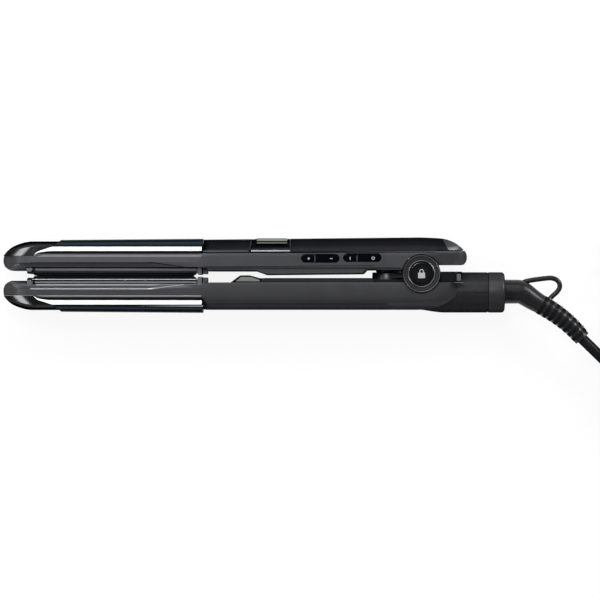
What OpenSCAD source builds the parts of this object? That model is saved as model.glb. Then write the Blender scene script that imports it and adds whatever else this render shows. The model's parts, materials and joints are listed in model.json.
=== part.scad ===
// Two-armed heated hair iron with crimping plates, lying on its side.
// +X runs to the cord, +Y to the display arm, +Z along the hinge axis to the lock button.
// The origin is on the hinge axis, on the flat back face that the iron rests on.

/* [Arms] */
// Width of both arms along the hinge axis
body_w = 34; // [32:0.5:37]
// Length of the tips beyond the plates
nose_len = 16.8; // [15:0.2:20]
// Hinge axis to the joint between the gloss front covers and the handles
cover_rear = 126; // [124:0.5:127]
// Thickness of the moulded walls
wall = 2; // [1.6:0.1:2.4]
// Height of the gloss front covers over the closing plane
front_h = 20.7; // [20:0.1:22]
// Step down from the gloss cover to the lower handle
lower_step = 1.3; // [0.8:0.1:1.6]
// Step down from the gloss cover to the upper handle
upper_step = 0.2; // [0:0.1:0.5]
// Slope of the upper handle's top and seam towards the hinge, degrees
handle_tilt = 0.6; // [0:0.1:1]
// Radius of the covers' long corners
corner_r = 6; // [4:0.5:7]
// Radius of the covers' crown across the width
crown_r = 60; // [45:1:90]
// Hinge axis to the tail of the upper arm
upper_tail = 26.4; // [25.5:0.1:28]
// Corner radius of the tips, seen from above
tip_r = 10; // [7:0.5:12]

/* [Plates] */
// Length of the crimping plates
plate_len = 93; // [90:0.5:94]
// Distance from the arms' side faces to the edges of the plates
plate_margin = 4; // [3.8:0.1:5]
// Thickness of the crimping plates behind their waves
plate_t = 2.4; // [2:0.1:2.6]
// Distance from the rear ends of the plates back to the handles
plate_setback = 4.2; // [3.8:0.1:5]
// Distance from crest to crest of the crimping waves
wave_pitch = 4; // [3:0.25:5]
// Depth of the crimping waves from crest to valley
wave_depth = 1.8; // [1:0.1:2]
// Distance between the closed plates
plate_gap = 0.4; // [0.3:0.05:0.6]
// Way that each sprung plate can be pushed in
float_travel = 0.6; // [0.3:0.1:0.8]
// Thickness of the heater on each plate
heater_t = 1.8; // [1.4:0.1:2]

/* [Hinge] */
// Radius of the hinge cheeks and of the ring round the lock button
ring_r = 11; // [10.6:0.1:11.4]
// Radius of the upper arm's knuckle
knuckle_r = 9.5; // [9:0.1:9.8]
// Diameter of the hinge pin
pin_d = 6; // [4:0.5:7]
// Thickness of the back cheek
back_cheek = 6; // [5:0.5:7]
// Depth of the front cheek under the arm's front face
front_cheek = 8; // [7.5:0.5:9]
// Radius of the lock button
button_r = 7.1; // [6.8:0.1:7.3]
// Travel of the lock button
button_travel = 1.5; // [0.8:0.1:1.5]
// Height of the ring over the arm's front face
ring_proud = 1.2; // [0.6:0.1:1.6]

/* [Keys] */
// Travel of the four keys
key_travel = 0.5; // [0.3:0.05:0.5]
// Height of the keys across the handle
key_h = 4.7; // [4:0.1:5]
// Height of the keys over the side face
key_proud = 0.2; // [0:0.05:0.4]

/* [Display] */
// Length of the gloss band that holds the display
bezel_len = 22.3; // [21:0.1:24]
// Length of the display window
window_len = 18.4; // [16:0.1:19]
// Hinge axis to the rear edge of the band
bezel_rear = 75.7; // [75:0.1:78]

/* [Tail] */
// Radius of the tail housing
tail_r = 11.4; // [11:0.1:11.8]
// Hinge axis to the rear face of the tail housing
tail_end = 38.5; // [37.5:0.5:41]
// Length of the swivel collar
collar_len = 9.5; // [8:0.5:11]
// Radius of the swivelling neck
neck_r = 6.4; // [6:0.1:6.8]
// Distance of the swivel axis under the hinge axis
tail_drop = 10.7; // [10.4:0.1:11]

/* [Cord] */
// Diameter of the cord
cord_d = 6.3; // [6:0.1:6.4]
// Turns in the coil
coil_turns = 8.25; // [8.25:1:8.25]
// Layers in the coil
coil_layers = 4; // [4:2:4]
// Width of the plug's body
plug_w = 25; // [22:0.5:26]
// Thickness of the plug's body
plug_t = 14; // [12:0.5:14]

/* [Clearances] */
// Gap between parts that move past each other
run_gap = 0.3; // [0.25:0.05:0.4]
// Gap at the seams between fixed covers
seam_gap = 0.1; // [0.05:0.05:0.2]
// Radial clearance of turning shafts in their bores
fit_gap = 0.05; // [0.03:0.01:0.08]

/* [Hidden] */
$fn = 64;

GRAPHITE = [0.16, 0.16, 0.17];
DARK = [0.09, 0.09, 0.1];
GLOSS = [0.04, 0.05, 0.07];
CHROME = [0.85, 0.86, 0.87];
STEEL = [0.6, 0.61, 0.62];
GREY = [0.32, 0.32, 0.33];
BRASS = [0.78, 0.62, 0.3];
BOARD = [0.1, 0.32, 0.16];
LCD = [0.62, 0.68, 0.58];

// The closing plane lies a little under the hinge axis; heights on both arms are measured from it
close_y = -1.1;
mid_z = body_w / 2;
handle_x = -cover_rear;             // where the handles start
plate_w = body_w - 2 * plate_margin;
plate_rear = cover_rear + plate_setback;
plate_front = -(plate_rear + plate_len);
tip = plate_front - nose_len;
lower_handle_h = front_h - lower_step;
upper_handle_h = front_h - upper_step;
nose_rear = plate_front - 4.5;      // the tip's solid nose ends here
side_top = front_h - 7.4;           // top of the side body beside the chrome strip
inner_front = 5;                    // edge of the side body over the plates
floor_in = 6.2;                     // web that carries the plate holders
floor_t = 1.5;
strip_lo = front_h - 6.6;
strip_hi = front_h - 3.7;
cap_lo = front_h - 9.3;             // seam between the grey nose and the gloss cap
cap_hi = front_h - 0.9;
upper_edge = 4.7;                   // lower edge of the upper handle's side body
lower_edge = 3.85;                  // inner edge of the lower handle's side body
seam_u = front_h - 7.8;             // seam of the upper handle cover at its front end
key_u = seam_u - 2.9;               // middle of the keys
bulkhead = handle_x + 0.5;
hinge_front = body_w - 0.6;         // top face of the front cheek
cut_r = ring_r + 0.4;               // clearance circle in the upper arm
knuckle_z0 = back_cheek + run_gap;
knuckle_z1 = body_w - front_cheek - run_gap;
boss_x = -19.3;                     // centre of the opening spring's cup
collar_end = tail_end + collar_len;
swivel_y = -tail_drop;

// Places a piece of the upper arm, whose heights are measured up from the closing plane
module upper() translate([0, close_y, 0]) children();
// Places a piece of the lower arm, whose heights are measured down from the closing plane
module lower() translate([0, close_y, 0]) mirror([0, 1, 0]) children();
// Extrudes a side outline across the width
module side(z0 = 0, z1 = body_w) translate([0, 0, z0]) linear_extrude(z1 - z0) children();
// Extrudes a cross-section (height, width) along the arm
module along(x0, x1) translate([x0, 0, 0]) rotate([90, 0, 90]) linear_extrude(x1 - x0) children();
// Extrudes an outline seen from above (length, width) over a range of heights
module plan(u0, u1) translate([0, u1, 0]) rotate([90, 0, 0]) linear_extrude(u1 - u0) children();
// A box between two corners
module block(a, b) translate(a) cube(b - a);
// Both side faces at once
module both_sides() {
  children();
  translate([0, 0, body_w]) mirror([0, 0, 1]) children();
}

function arc(c, r, a0, a1, n = 8) =
  [for (i = [0:n]) c + r * [cos(a0 + (a1 - a0) * i / n), sin(a0 + (a1 - a0) * i / n)]];
function rise(x) = (x - handle_x) * tan(handle_tilt);

// Cross-section with vertical sides, rounded long corners and a crowned top
module crown_section(bottom, top, inset = 0) {
  r = corner_r - inset;
  big = crown_r - inset;
  half = body_w / 2 - inset;
  c = top - inset - big;
  lean = sqrt(pow(big - r, 2) - pow(half - r, 2));
  translate([0, mid_z]) {
    translate([bottom, -half]) square([c + lean - bottom, 2 * half]);
    for (s = [-1, 1]) translate([c + lean, s * (half - r)]) circle(r);
    intersection() {
      translate([c, 0]) circle(big, $fn = 180);
      polygon([[c, 0], [c + 2 * lean, 2 * (r - half)], [c + 2 * lean, 2 * (half - r)]]);
    }
  }
}

// Outline from above: a straight body with its own corner radius at each end
module rounded_ends(x0, x1, r0, r1, inset = 0) {
  w = body_w - 2 * inset;
  translate([x0 + r0, inset]) square([x1 - r1 - x0 - r0, w]);
  translate([x0, inset + r0]) square([r0, w - 2 * r0]);
  translate([x1 - r1, inset + r1]) square([r1, w - 2 * r1]);
  for (z = [inset + r0, inset + w - r0]) translate([x0 + r0, z]) circle(r0);
  for (z = [inset + r1, inset + w - r1]) translate([x1 - r1, z]) circle(r1);
}

// Chamfer that draws the side faces in towards the plates, along one stretch of the crease
module crease_cut(x0, u0, x1, u1) {
  span = norm([x1 - x0, u1 - u0]);
  both_sides() translate([x0, u0, 0]) rotate([0, 0, atan2(u1 - u0, x1 - x0)])
    along(-0.2, span + 0.05) polygon([[0, -1], [0, 0], [-4, 2.2], [-4, -1]]);
}

// ---- Tip, front cover and trim, alike on both arms ----
// Curved edge between the gloss cap and the cover and strip behind it, from top to bottom
CAP_EDGE = [[31.6, cap_hi + 1.2], [31.2, cap_hi + 0.1], [30, cap_hi - 0.9], [28.2, cap_hi - 2.2],
            [25.6, cap_hi - 3.7], [21.6, cap_hi - 5], [19, cap_hi - 5.9], [17.6, cap_lo + 1.2], [16.8, cap_lo]];
module behind_cap(g) polygon(concat(
  [[tip + 33.5 + g, 30]], [for (p = CAP_EDGE) p + [tip + g, 0]], [[tip + 16.8 + g, -5], [60, -5], [60, 30]]));

module nose_outline() polygon([
  [nose_rear, 2.9], [tip + 4.8, 2.9], [tip + 3, 3.8], [tip + 1.2, 5.2], [tip + 0.2, 7.2],
  [tip, 8.6], [tip + 0.1, 10], [tip + 0.6, cap_lo], [tip + 16.8, cap_lo], [tip + 17.6, cap_lo + 1.2],
  [tip + 18.4, side_top], [handle_x, side_top], [handle_x, side_top - 1.3], [handle_x + 0.4, side_top - 1.3],
  [handle_x + 0.4, inner_front],
  [nose_rear, inner_front]]);

module cap_outline() polygon(concat(
  [[tip + 0.6, cap_lo + seam_gap], [tip + 1.6, cap_hi - 6.9], [tip + 2.7, cap_hi - 5.4], [tip + 4.2, cap_hi - 3.9],
   [tip + 6, cap_hi - 2.7], [tip + 8.4, cap_hi - 1.5], [tip + 11.4, cap_hi - 0.5], [tip + 14.6, cap_hi],
   [tip + 31, cap_hi]],
  [for (i = [2:7]) CAP_EDGE[i] + [tip - seam_gap, 0]],
  [[tip + 16.7, cap_lo + seam_gap]]));

module tip_cap() difference() {
  intersection() {
    side() cap_outline();
    along(tip - 1, tip + 40) crown_section(5, cap_hi);
    plan(5, 25) rounded_ends(tip, -20, tip_r, 3, -0.1);
  }
  intersection() {
    along(tip + 5, tip + 60) crown_section(5, cap_hi - 1, wall);
    side() polygon([[tip + 3, 0], [tip + 4, cap_hi - 6.8], [tip + 10, cap_hi - 2.6], [tip + 15, cap_hi - 1.2],
      [tip + 50, cap_hi - 1.2], [tip + 50, 0]]);
  }
}

module front_cover() difference() {
  intersection() {
    side() behind_cap(run_gap);
    along(tip, handle_x) crown_section(strip_hi + seam_gap, front_h);
    block([tip, strip_hi + seam_gap, -1], [0, front_h + 1, body_w + 1]);
  }
  along(tip - 1, handle_x - wall) crown_section(0, front_h, wall);
}

// Chrome channel: a bright strip on each side, joined by a web under the cover
module trim() intersection() {
  side() behind_cap(0.1);
  difference() {
    along(tip, handle_x - 0.3) intersection() {
      difference() {
        crown_section(0, front_h, 0.15);
        translate([0, 1.7]) square([strip_hi - 1, body_w - 3.4]);
      }
      translate([strip_lo, 0]) square([strip_hi - strip_lo, body_w]);
    }
    block([plate_front + 10, 0, wall + 4], [-plate_rear - 10, 30, body_w - wall - 4]);
  }
}

// ---- Plates and what holds them, alike on both arms ----
wave_n = floor((plate_w - 2) / wave_pitch);
function wave(z, phase) = wave_depth / 2 * sin(360 * z / wave_pitch + phase);
module plate_section(phase) {
  edge = (plate_w - wave_n * wave_pitch) / 2;
  steps = wave_n * 8;
  polygon(concat(
    [[plate_gap / 2, 0]],
    [for (i = [0:steps]) [plate_gap / 2 + wave(i * wave_pitch / 8, phase), edge + i * wave_pitch / 8]],
    [[plate_gap / 2, plate_w], [plate_t, plate_w], [plate_t, 0]]));
}
module plate(phase) difference() {
  translate([0, 0, mid_z - plate_w / 2]) along(plate_front, -plate_rear) plate_section(phase);
  for (x = [[plate_front, -1], [-plate_rear, 1]])
    translate([x[0], plate_t * 0.45, -1]) rotate([0, 0, x[1] * -58])
      translate([x[1] < 0 ? -6 : 0, -6, 0]) cube([6, 6, body_w + 2]);
}
module heater() block([plate_front + 6, plate_t, mid_z - 8], [-plate_rear - 6, plate_t + heater_t, mid_z + 8]);

carrier_z = (body_w - plate_w) / 2 - 1.6;
module plate_carrier() difference() {
  union() {
    block([plate_front - 0.9, 2.6, carrier_z], [-plate_rear + 0.9, floor_in, body_w - carrier_z]);
    translate([0, 0, carrier_z]) along(plate_front - 0.9, -plate_rear + 0.9)
      polygon([[2.7, 0], [1.1, 0.7], [1.1, body_w - 2 * carrier_z - 0.7], [2.7, body_w - 2 * carrier_z]]);
  }
  block([plate_front - run_gap, -1, mid_z - plate_w / 2 - run_gap],
        [-plate_rear + run_gap, 30, mid_z + plate_w / 2 + run_gap]);
  both_sides() block([tip, 4.3, -1], [0, 4.9, carrier_z + 0.35]);
}
module end_blocks(edge) {
  side(3, body_w - 3) polygon([[nose_rear + 0.2, 4.5], [nose_rear + 1, 1.1], [plate_front - 1.4, 1.1],
    [plate_front - 1.1, 2.4], [plate_front - 1.1, floor_in], [nose_rear + 0.2, floor_in]]);
  side(3, body_w - 3) polygon([[-plate_rear + 1.1, 2.4], [-plate_rear + 1.4, 0.6], [handle_x - 0.4, 0.6],
    [handle_x - 0.4, floor_in], [-plate_rear + 1.1, floor_in]]);
  block([handle_x + 0.1, 1, 6], [handle_x + 2.7, edge - 0.1, body_w - 6]);
}
pad_u = plate_t + heater_t + float_travel + 0.1;
module pads() for (k = [1, 3, 5])
  translate([plate_front + plate_len * k / 6, pad_u, mid_z])
    rotate([-90, 0, 0]) cylinder(r = 4, h = floor_in - pad_u);

// Front half of either side body: walls, nose and the web over the plates
module front_cavities() {
  block([nose_rear, -1, wall], [bulkhead - 0.8, floor_in, body_w - wall]);
  block([plate_front - 2, floor_in + floor_t, wall], [bulkhead - 0.8, 30, body_w - wall]);
}
module creases() {
  crease_cut(tip - 1, 7, handle_x - 29, 7);
  crease_cut(handle_x - 29, 7, handle_x - 10.6, 4.8);
}

// ---- Lower arm ----
sweep_x = -2;                       // where the handle's underside starts to sweep up to the tail
lower_tail = 23.5;                  // rear end of the lower arm's side body
function sweep_line(g) = [for (i = [0:12]) [sweep_x + (lower_tail - sweep_x + g) * sin(i * 7.5),
  lower_edge + (lower_handle_h - lower_edge + g) * cos(i * 7.5)]];
module lower_outline() {
  nose_outline();
  polygon(concat(
    [[handle_x, lower_edge], [handle_x, 30], [sweep_x, 30]],
    sweep_line(0)));
}
module lower_arm_shell() color(GRAPHITE) difference() {
  union() {
    lower() difference() {
      intersection() {
        side() lower_outline();
        along(tip, 30) crown_section(-5, lower_handle_h);
        plan(-1, 25) rounded_ends(tip, lower_tail + 0.4, tip_r, 5, -0.1);
      }
      front_cavities();
      creases();
      intersection() {
        along(bulkhead + wall, -14) crown_section(-5, lower_handle_h, wall);
        block([bulkhead + wall, -5, 0], [-14, 30, body_w]);
      }
      block([-15, 11.2, mid_z - 8], [40, 16.6, mid_z + 8]);
    }
    lower() screw_post(lower_screw_x, cover_in + 0.1, lower_handle_h - wall / 2);
    cylinder(r = ring_r, h = hinge_front);
  }
  lower() screw_thread(lower_screw_x, cover_in);
  translate([0, 0, back_cheek]) cylinder(r = knuckle_r + run_gap, h = knuckle_z1 + run_gap - back_cheek);
  translate([0, 0, back_cheek]) linear_extrude(knuckle_z1 + run_gap - back_cheek)
    translate([-cut_r - 1, 0]) square([2 * cut_r + 2, 20]);
  translate([0, 0, -1]) cylinder(d = pin_d + 0.02, h = body_w);
  translate([0, 0, -1]) cylinder(r = 9.1, h = 3.1);
  translate([0, 0, pocket_z]) cylinder(r = pocket_r, h = 10);
  lock_holes(1.35, knuckle_z1, pocket_z + 1);
  translate([0, 0, hinge_front]) cylinder(r = cut_r, h = 2);
}
module lower_front_cover() color(GLOSS) lower() front_cover();
module lower_trim() color(CHROME) lower() trim();
module lower_tip_cap() color(GLOSS) lower() tip_cap();
module lower_plate_carrier() color(GREY) lower() plate_carrier();
module lower_end_blocks() color(GREY) lower() end_blocks(lower_edge);
module lower_pads() color("white") lower() pads();
module lower_plate() color(DARK) lower() plate(180);
module lower_heater() color("white") lower() heater();

lip_z = 1.5;
cup_r = 8.6;
cup_top = -1.95;
spring_seat = 7.6;
cover_in = 5.4;                     // inner face of the lower handle's inner cover
module lower_inner_cover() color(DARK) difference() {
  union() {
    lower() intersection() {
      side(lip_z, body_w - lip_z) polygon([[bulkhead + wall + 0.3, lower_edge + 0.1],
        [bump_end, lower_edge + 0.1], [bump_end + 2, 2.2], [-cut_r, 2.2], [-cut_r, cover_in],
        [bulkhead + wall + 0.3, cover_in]]);
      union() {
        block([handle_x, -5, wall + seam_gap], [-14 - seam_gap, 10, body_w - wall - seam_gap]);
        block([handle_x, -5, lip_z], [0, lower_edge - 0.05, body_w - lip_z]);
      }
    }
    lower() translate([boss_x, cup_top, mid_z]) rotate([-90, 0, 0]) cylinder(r = cup_r, h = 4.3);
    lower() intersection() {
      translate([boss_x, 2, mid_z]) rotate([-90, 0, 0]) cylinder(r = cup_r, h = spring_seat);
      block([-40, 0, 0], [-14 - seam_gap, 20, body_w]);
    }
  }
  lower() translate([boss_x, -5, mid_z]) rotate([-90, 0, 0]) cylinder(r = 4.6, h = 5 + spring_seat);
  cylinder(r = cut_r, h = body_w);
  lower() screw_holes(lower_screw_x, lower_edge + 0.2);
}
bump_end = handle_x + 33;
module lower_bump_stop() color(GREY) lower() side(3, body_w - 3) polygon([
  [bump_end - 16, lower_edge], [bump_end - 11.2, -0.3], [bump_end - 5.6, -0.3], [bump_end - 0.4, 1.6],
  [bump_end, lower_edge]]);

// Screws that hold the inner covers, each in a post or rib of its arm
lower_screw_x = handle_x + 7.5;
upper_screw_x = handle_x + 14;
shank_d = 2.2;
head_h = 0.8;
module at_screw(x, u) translate([x, u, mid_z]) rotate([-90, 0, 0]) children();
module screw_holes(x, head_u) {
  at_screw(x, head_u - 4) cylinder(d = 5, h = 4 + head_h + 0.05);
  at_screw(x, head_u) cylinder(d = shank_d + 2 * fit_gap, h = 8);
}
module screw_post(x, u0, u1) at_screw(x, u0) cylinder(d = 5.4, h = u1 - u0);
module screw_thread(x, u0) at_screw(x, u0) cylinder(d = shank_d + 2 * fit_gap, h = 5);
module screw(x, head_u) difference() {
  union() {
    at_screw(x, head_u) cylinder(d = 4.8, h = head_h);
    at_screw(x, head_u) cylinder(d = shank_d, h = 6);
  }
  at_screw(x, head_u) for (a = [0, 90]) rotate([0, 0, a]) translate([-1.6, -0.3, -1]) cube([3.2, 0.6, 1.5]);
}
module lower_screws() color(STEEL) lower() screw(lower_screw_x, lower_edge + 0.2);

module thermal_fuse() color(STEEL) lower() translate([plate_front + 23.2, floor_in + floor_t + 2, mid_z])
  rotate([0, 90, 0]) {
    cylinder(d = 4, h = 10);
    translate([0, 0, -6]) cylinder(d = 1, h = 22);
  }
board_u = 9;
board_t = 1.6;
board_x = handle_x + 12;
board_len = 70;
board_w = 22;
module power_board() lower() {
  color(BOARD) block([board_x, board_u, mid_z - board_w / 2],
                     [board_x + board_len, board_u + board_t, mid_z + board_w / 2]);
  color(DARK) for (x = [6, 19, 34, 52])
    block([board_x + x, board_u + board_t, mid_z - 5], [board_x + x + 9, board_u + 6, mid_z + 5]);
  color(STEEL) for (x = [3, board_len - 3]) for (z = [2.5 - board_w / 2, board_w / 2 - 2.5])
    translate([board_x + x, cover_in, mid_z + z]) rotate([-90, 0, 0]) cylinder(d = 3.4, h = board_u - cover_in);
}
module lower_wires() color("white") lower() for (z = [-6.5, 6.5])
  translate([bulkhead + wall + 0.1, 13.2, mid_z + z]) rotate([0, 90, 0])
    cylinder(d = 2, h = 22 - bulkhead - wall);

// ---- Hinge ----
pocket_z = body_w - 4.6;
pocket_r = ring_r - 2.9;
spring_z1 = pocket_z + button_travel + 1.5;   // underside of the lock button's cap
lock_r = 5.6;
module lock_holes(r, z0, z1) for (a = [0, 180])
  translate([lock_r * cos(a), lock_r * sin(a), z0]) cylinder(r = r, h = z1 - z0);

module hinge_stop() color(DARK) difference() {
  lower() intersection() {
    side(4, body_w - 4) polygon([[9, lower_edge], [9, -2.4], [22.6, -2.4], [22.6, lower_edge]]);
    plan(-5, 10) {
      translate([0, 4]) square([17.6, body_w - 8]);
      translate([0, 9]) square([22.6, body_w - 18]);
      for (z = [9, body_w - 9]) translate([17.6, z]) circle(5);
    }
  }
  translate([0, 0, -1]) cylinder(r = ring_r + seam_gap, h = body_w + 2);
}
module hinge_bezel() color(GREY) rotate_extrude($fn = 96) polygon(concat(
  [[button_r + 0.25, pocket_z + 0.6], [pocket_r - 0.05, pocket_z + 0.6], [pocket_r - 0.05, hinge_front],
   [ring_r, hinge_front], [ring_r, body_w + ring_proud - 1.1]],
  arc([ring_r - 1.1, body_w + ring_proud - 1.1], 1.1, 0, 90, 5),
  [[ring_r - 2, body_w + ring_proud], [ring_r - 2.6, body_w + ring_proud - 0.5],
   [button_r + 0.7, body_w + ring_proud - 0.5], [button_r + 0.25, body_w + ring_proud - 0.9]]));
module back_hinge_cap() color(DARK) cylinder(r = 9, h = 2);
module hinge_pin() color(STEEL) translate([0, 0, 2.15]) cylinder(d = pin_d, h = pocket_z - 2.25);
module lock_button() color(GLOSS) {
  top = body_w + ring_proud - 0.5;
  difference() {
    union() {
      rotate_extrude() polygon(concat(
        [[0, spring_z1], [button_r - 1.1, spring_z1], [button_r - 1.1, pocket_z + button_travel + 0.15],
         [button_r, pocket_z + button_travel + 0.15], [button_r, top - 0.5]],
        arc([button_r - 0.5, top - 0.5], 0.5, 0, 90, 4), [[button_r - 1.2, top]],
        [for (i = [0:6]) [(button_r - 1.2) * (1 - i / 6), top - 0.7 * sin(i * 15)]]));
      lock_holes(1.2, knuckle_z1 + button_travel + 0.4, spring_z1 + 0.2);
    }
  }
}
module hinge_knuckle() color(STEEL) difference() {
  union() {
    translate([0, 0, knuckle_z0]) cylinder(r = knuckle_r, h = knuckle_z1 - knuckle_z0);
    translate([-6, 0, knuckle_z0 + 2]) cube([12, deck_u + close_y - 0.05, knuckle_z1 - knuckle_z0 - 4]);
  }
  cylinder(d = pin_d + 2 * fit_gap, h = body_w);
  lock_holes(1.6, knuckle_z1 - 2, knuckle_z1 + 1);
}

// ---- Tail ----
module swell() translate([0, swivel_y, mid_z]) rotate([0, 90, 0]) children();
under_r = swivel_y - close_y + lower_handle_h;   // swivel axis to the handle's underside
swell_start = -4;                   // where the housing comes out of the underside
swell_end = 14;                     // where it has its full radius
function swell_at(t) = [under_r + (tail_r - under_r) * ease(t), swell_start + (swell_end - swell_start) * t];
module tail_form() difference() {
  swell() rotate_extrude() polygon(concat([[0, swell_start]], [for (i = [0:9]) swell_at(i / 9)],
    [[tail_r, tail_end], [0, tail_end]]));
  lower() side() polygon(concat([[-20, -5], [-20, lower_handle_h + seam_gap + 0.2]],
    sweep_line(seam_gap + 0.2), [[lower_tail + seam_gap + 0.2, -5]]));
  swell() cylinder(r = 8.8, h = tail_end - 3.6);
  swell() cylinder(r = neck_r + fit_gap, h = tail_end + 1);
}
module tail_housing_top() color(GRAPHITE) intersection() {
  tail_form();
  block([0, swivel_y + 0.03, 0], [60, 20, body_w]);
}
module tail_housing_bottom() color(GRAPHITE) intersection() {
  tail_form();
  block([-20, -40, 0], [60, swivel_y - 0.03, body_w]);
}
module swivel_collar() color(GREY) swell() translate([0, 0, tail_end + seam_gap]) rotate_extrude()
  polygon(concat([[neck_r + fit_gap, 0], [tail_r - 0.1, 0], [tail_r, 1]],
    [[tail_r, collar_len - 1.8]], arc([tail_r - 1.8, collar_len - 1.8], 1.8, 0, 90, 6),
    [[neck_r + fit_gap, collar_len]]));
flange_x = tail_end - 7;
module swivel_barrel() color(DARK) swell() {
  translate([0, 0, flange_x]) cylinder(r = 8.4, h = 3);
  translate([0, 0, flange_x + 2.9]) cylinder(r = neck_r, h = neck_end - flange_x - 2.9);
  translate([0, 0, flange_x - 7.5]) cylinder(r = 4.4, h = 7.6);
}
module contact_rings() color(BRASS) swell() for (k = [0, 1])
  translate([0, 0, flange_x - 6.6 + 3.4 * k]) difference() {
    cylinder(r = 5.2, h = 2);
    translate([0, 0, -1]) cylinder(r = 4.42, h = 4);
  }
module swivel_brushes() color(BRASS) swell() for (k = [0, 1])
  translate([0, 0, flange_x - 6.4 + 3.4 * k]) for (s = [-1, 1])
    translate([-0.9, s > 0 ? 5.3 : -8.7, 0]) cube([1.8, 3.4, 1.6]);

// ---- Swept tubes ----
function unit(v) = v / norm(v);
function heading(p, i) = unit(p[min(i + 1, len(p) - 1)] - p[max(i - 1, 0)]);
module tube(path, radii, sides) {
  n = len(path);
  points = [for (i = [0:n - 1]) let (t = heading(path, i), a = unit(cross([0, 0, 1], t)), b = cross(t, a))
    for (j = [0:sides - 1]) path[i] + radii[i] * (cos(360 * j / sides) * a + sin(360 * j / sides) * b)];
  faces = concat(
    [for (i = [0:n - 2]) for (j = [0:sides - 1]) let (k = (j + 1) % sides)
      [i * sides + j, (i + 1) * sides + k, i * sides + k]],
    [for (i = [0:n - 2]) for (j = [0:sides - 1]) let (k = (j + 1) % sides)
      [i * sides + j, (i + 1) * sides + j, (i + 1) * sides + k]],
    [for (j = [1:sides - 2]) [0, j, j + 1]],
    [for (j = [1:sides - 2]) let (e = (n - 1) * sides) [e, e + j + 1, e + j]]);
  polyhedron(points, faces);
}
module even_tube(path, d, sides) tube(path, [for (p = path) d / 2], sides);

// ---- Strain relief and hanging loop, on the swivel ----
neck_end = collar_end + 8;
NECK = [neck_end, swivel_y, mid_z];
RELIEF = [[0, 0, 0], [1.2, 0, 0], [3, -0.6, 0], [5.5, -2.1, 0], [9, -4.5, 0], [13, -7.2, 0], [17, -10, 0],
          [21, -12.9, 0], [25, -16.1, 0], [29, -19.5, 0], [33, -23.2, 0], [36.6, -26.6, 0]];
function relief_at(s) = let (q = s * (len(RELIEF) - 1), i = min(floor(q), len(RELIEF) - 2), f = q - i)
  NECK + RELIEF[i] * (1 - f) + RELIEF[i + 1] * f;
function relief_r(s) = neck_r + (4.4 - neck_r) * s;
RIBS = 9;
rib_start = 0.36;
function rib_span(k) = rib_start + (1 - rib_start) * k / RIBS;
module strain_relief() color(DARK) {
  smooth = [for (i = [0:7]) rib_start * i / 7];
  ribbed = [for (k = [0:RIBS - 1]) each let (a = rib_span(k), w = (1 - rib_start) / RIBS)
    [[a + 0.04 * w, 0.7], [a + 0.3 * w, 0.7], [a + 0.36 * w, 0], [a + 0.94 * w, 0]]];
  tube(concat([for (s = smooth) relief_at(s)], [for (q = ribbed) relief_at(q[0])], [relief_at(1)]),
       concat([for (s = smooth) relief_r(s)], [for (q = ribbed) relief_r(q[0]) - q[1]], [relief_r(1)]), 12);
}
LOOP = [[2, 5.1, 0], [6, 6.6, 0], [12, 7.6, 0], [17, 8.2, 0], [20, 8.3, 0], [22.6, 7.2, 0], [24, 5.1, 0],
        [23.9, 2.5, 0], [22.4, 0.1, 0], [20, -2.3, 0], [17.6, -4.9, 0], [16.4, -6.3, 0]];
loop_d = 2.8;
module hanging_loop() color(DARK) even_tube([for (p = LOOP) NECK + p], loop_d, 8);

// ---- Cord and plug ----
coil_c = [160, -37.4];
coil_out = 39.3;                    // radius of the outermost turn's middle
turn_pitch = cord_d + 0.45;
coil_z = 0.9 + cord_d / 2;
turns_per_layer = coil_turns / coil_layers;
function coil_radius(t) = let (k = floor(t / turns_per_layer + 1e-9), f = t - k * turns_per_layer)
  coil_out - turn_pitch * (k % 2 == 0 ? f : turns_per_layer - f);
function ease(q) = q < 0 ? 0 : q > 1 ? 1 : q * q * (3 - 2 * q);
function climb(t, k = 1) = k >= coil_layers ? 0 :
  turn_pitch * ease((t - k * turns_per_layer + 0.25) / 0.5) + climb(t, k + 1);
function coil_at(t) = [coil_c[0] + coil_radius(t) * cos(270 + 360 * t),
                       coil_c[1] + coil_radius(t) * sin(270 + 360 * t), coil_z + climb(t)];
coil_steps = 24 * coil_turns;
COIL = concat(
  [coil_at(0) - [cord_d, 0, 0]],
  [for (i = [0:coil_steps]) coil_at(i / 24)],
  [[coil_c[0] + coil_out, coil_c[1] + cord_d, coil_z + climb(coil_turns)]]);
function run_of(p, i = 1) = i >= len(p) ? 0 : norm(p[i] - p[i - 1]) + run_of(p, i + 1);
coil_gap = min([for (i = [0:len(COIL) - 1]) for (j = [i + 14:1:len(COIL) - 1]) norm(COIL[i] - COIL[j])]) - cord_d;

LEAD = [[92.9, -37.6, 17], [98, -42.5, 16.9], [103.4, -47.7, 16], [108.8, -52.9, 14.4],
        [113.9, -57.8, 12.4], [119, -62.6, 10.2], [125.4, -67.9, 7.6], [132.6, -72.2, 5.4],
        [140.2, -75.3, 4.3], [147.4, -76.7, 4.05], [153.4, -76.7, 4.05]];
TAIL = [[199.3, -30.8, 24.3], [199.3, -24.8, 24.3], [199.2, -18.8, 24], [198.2, -10.6, 22.2],
        [194.9, -2.6, 19], [189.6, 4.3, 15.2], [182.8, 9.6, 11.6], [174.8, 12.9, 8.7],
        [166.3, 14, 7.2], [160.3, 14, 7.05]];
echo(cord_length_m = (run_of(LEAD) + run_of(COIL) + run_of(TAIL)) / 1000, coil_gap_mm = coil_gap);

module cord_lead() color(DARK) even_tube(LEAD, cord_d, 12);
module cord_coil() color(DARK) even_tube(COIL, cord_d, 6);
module cord_tail() color(DARK) even_tube(TAIL, cord_d, 12);

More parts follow.
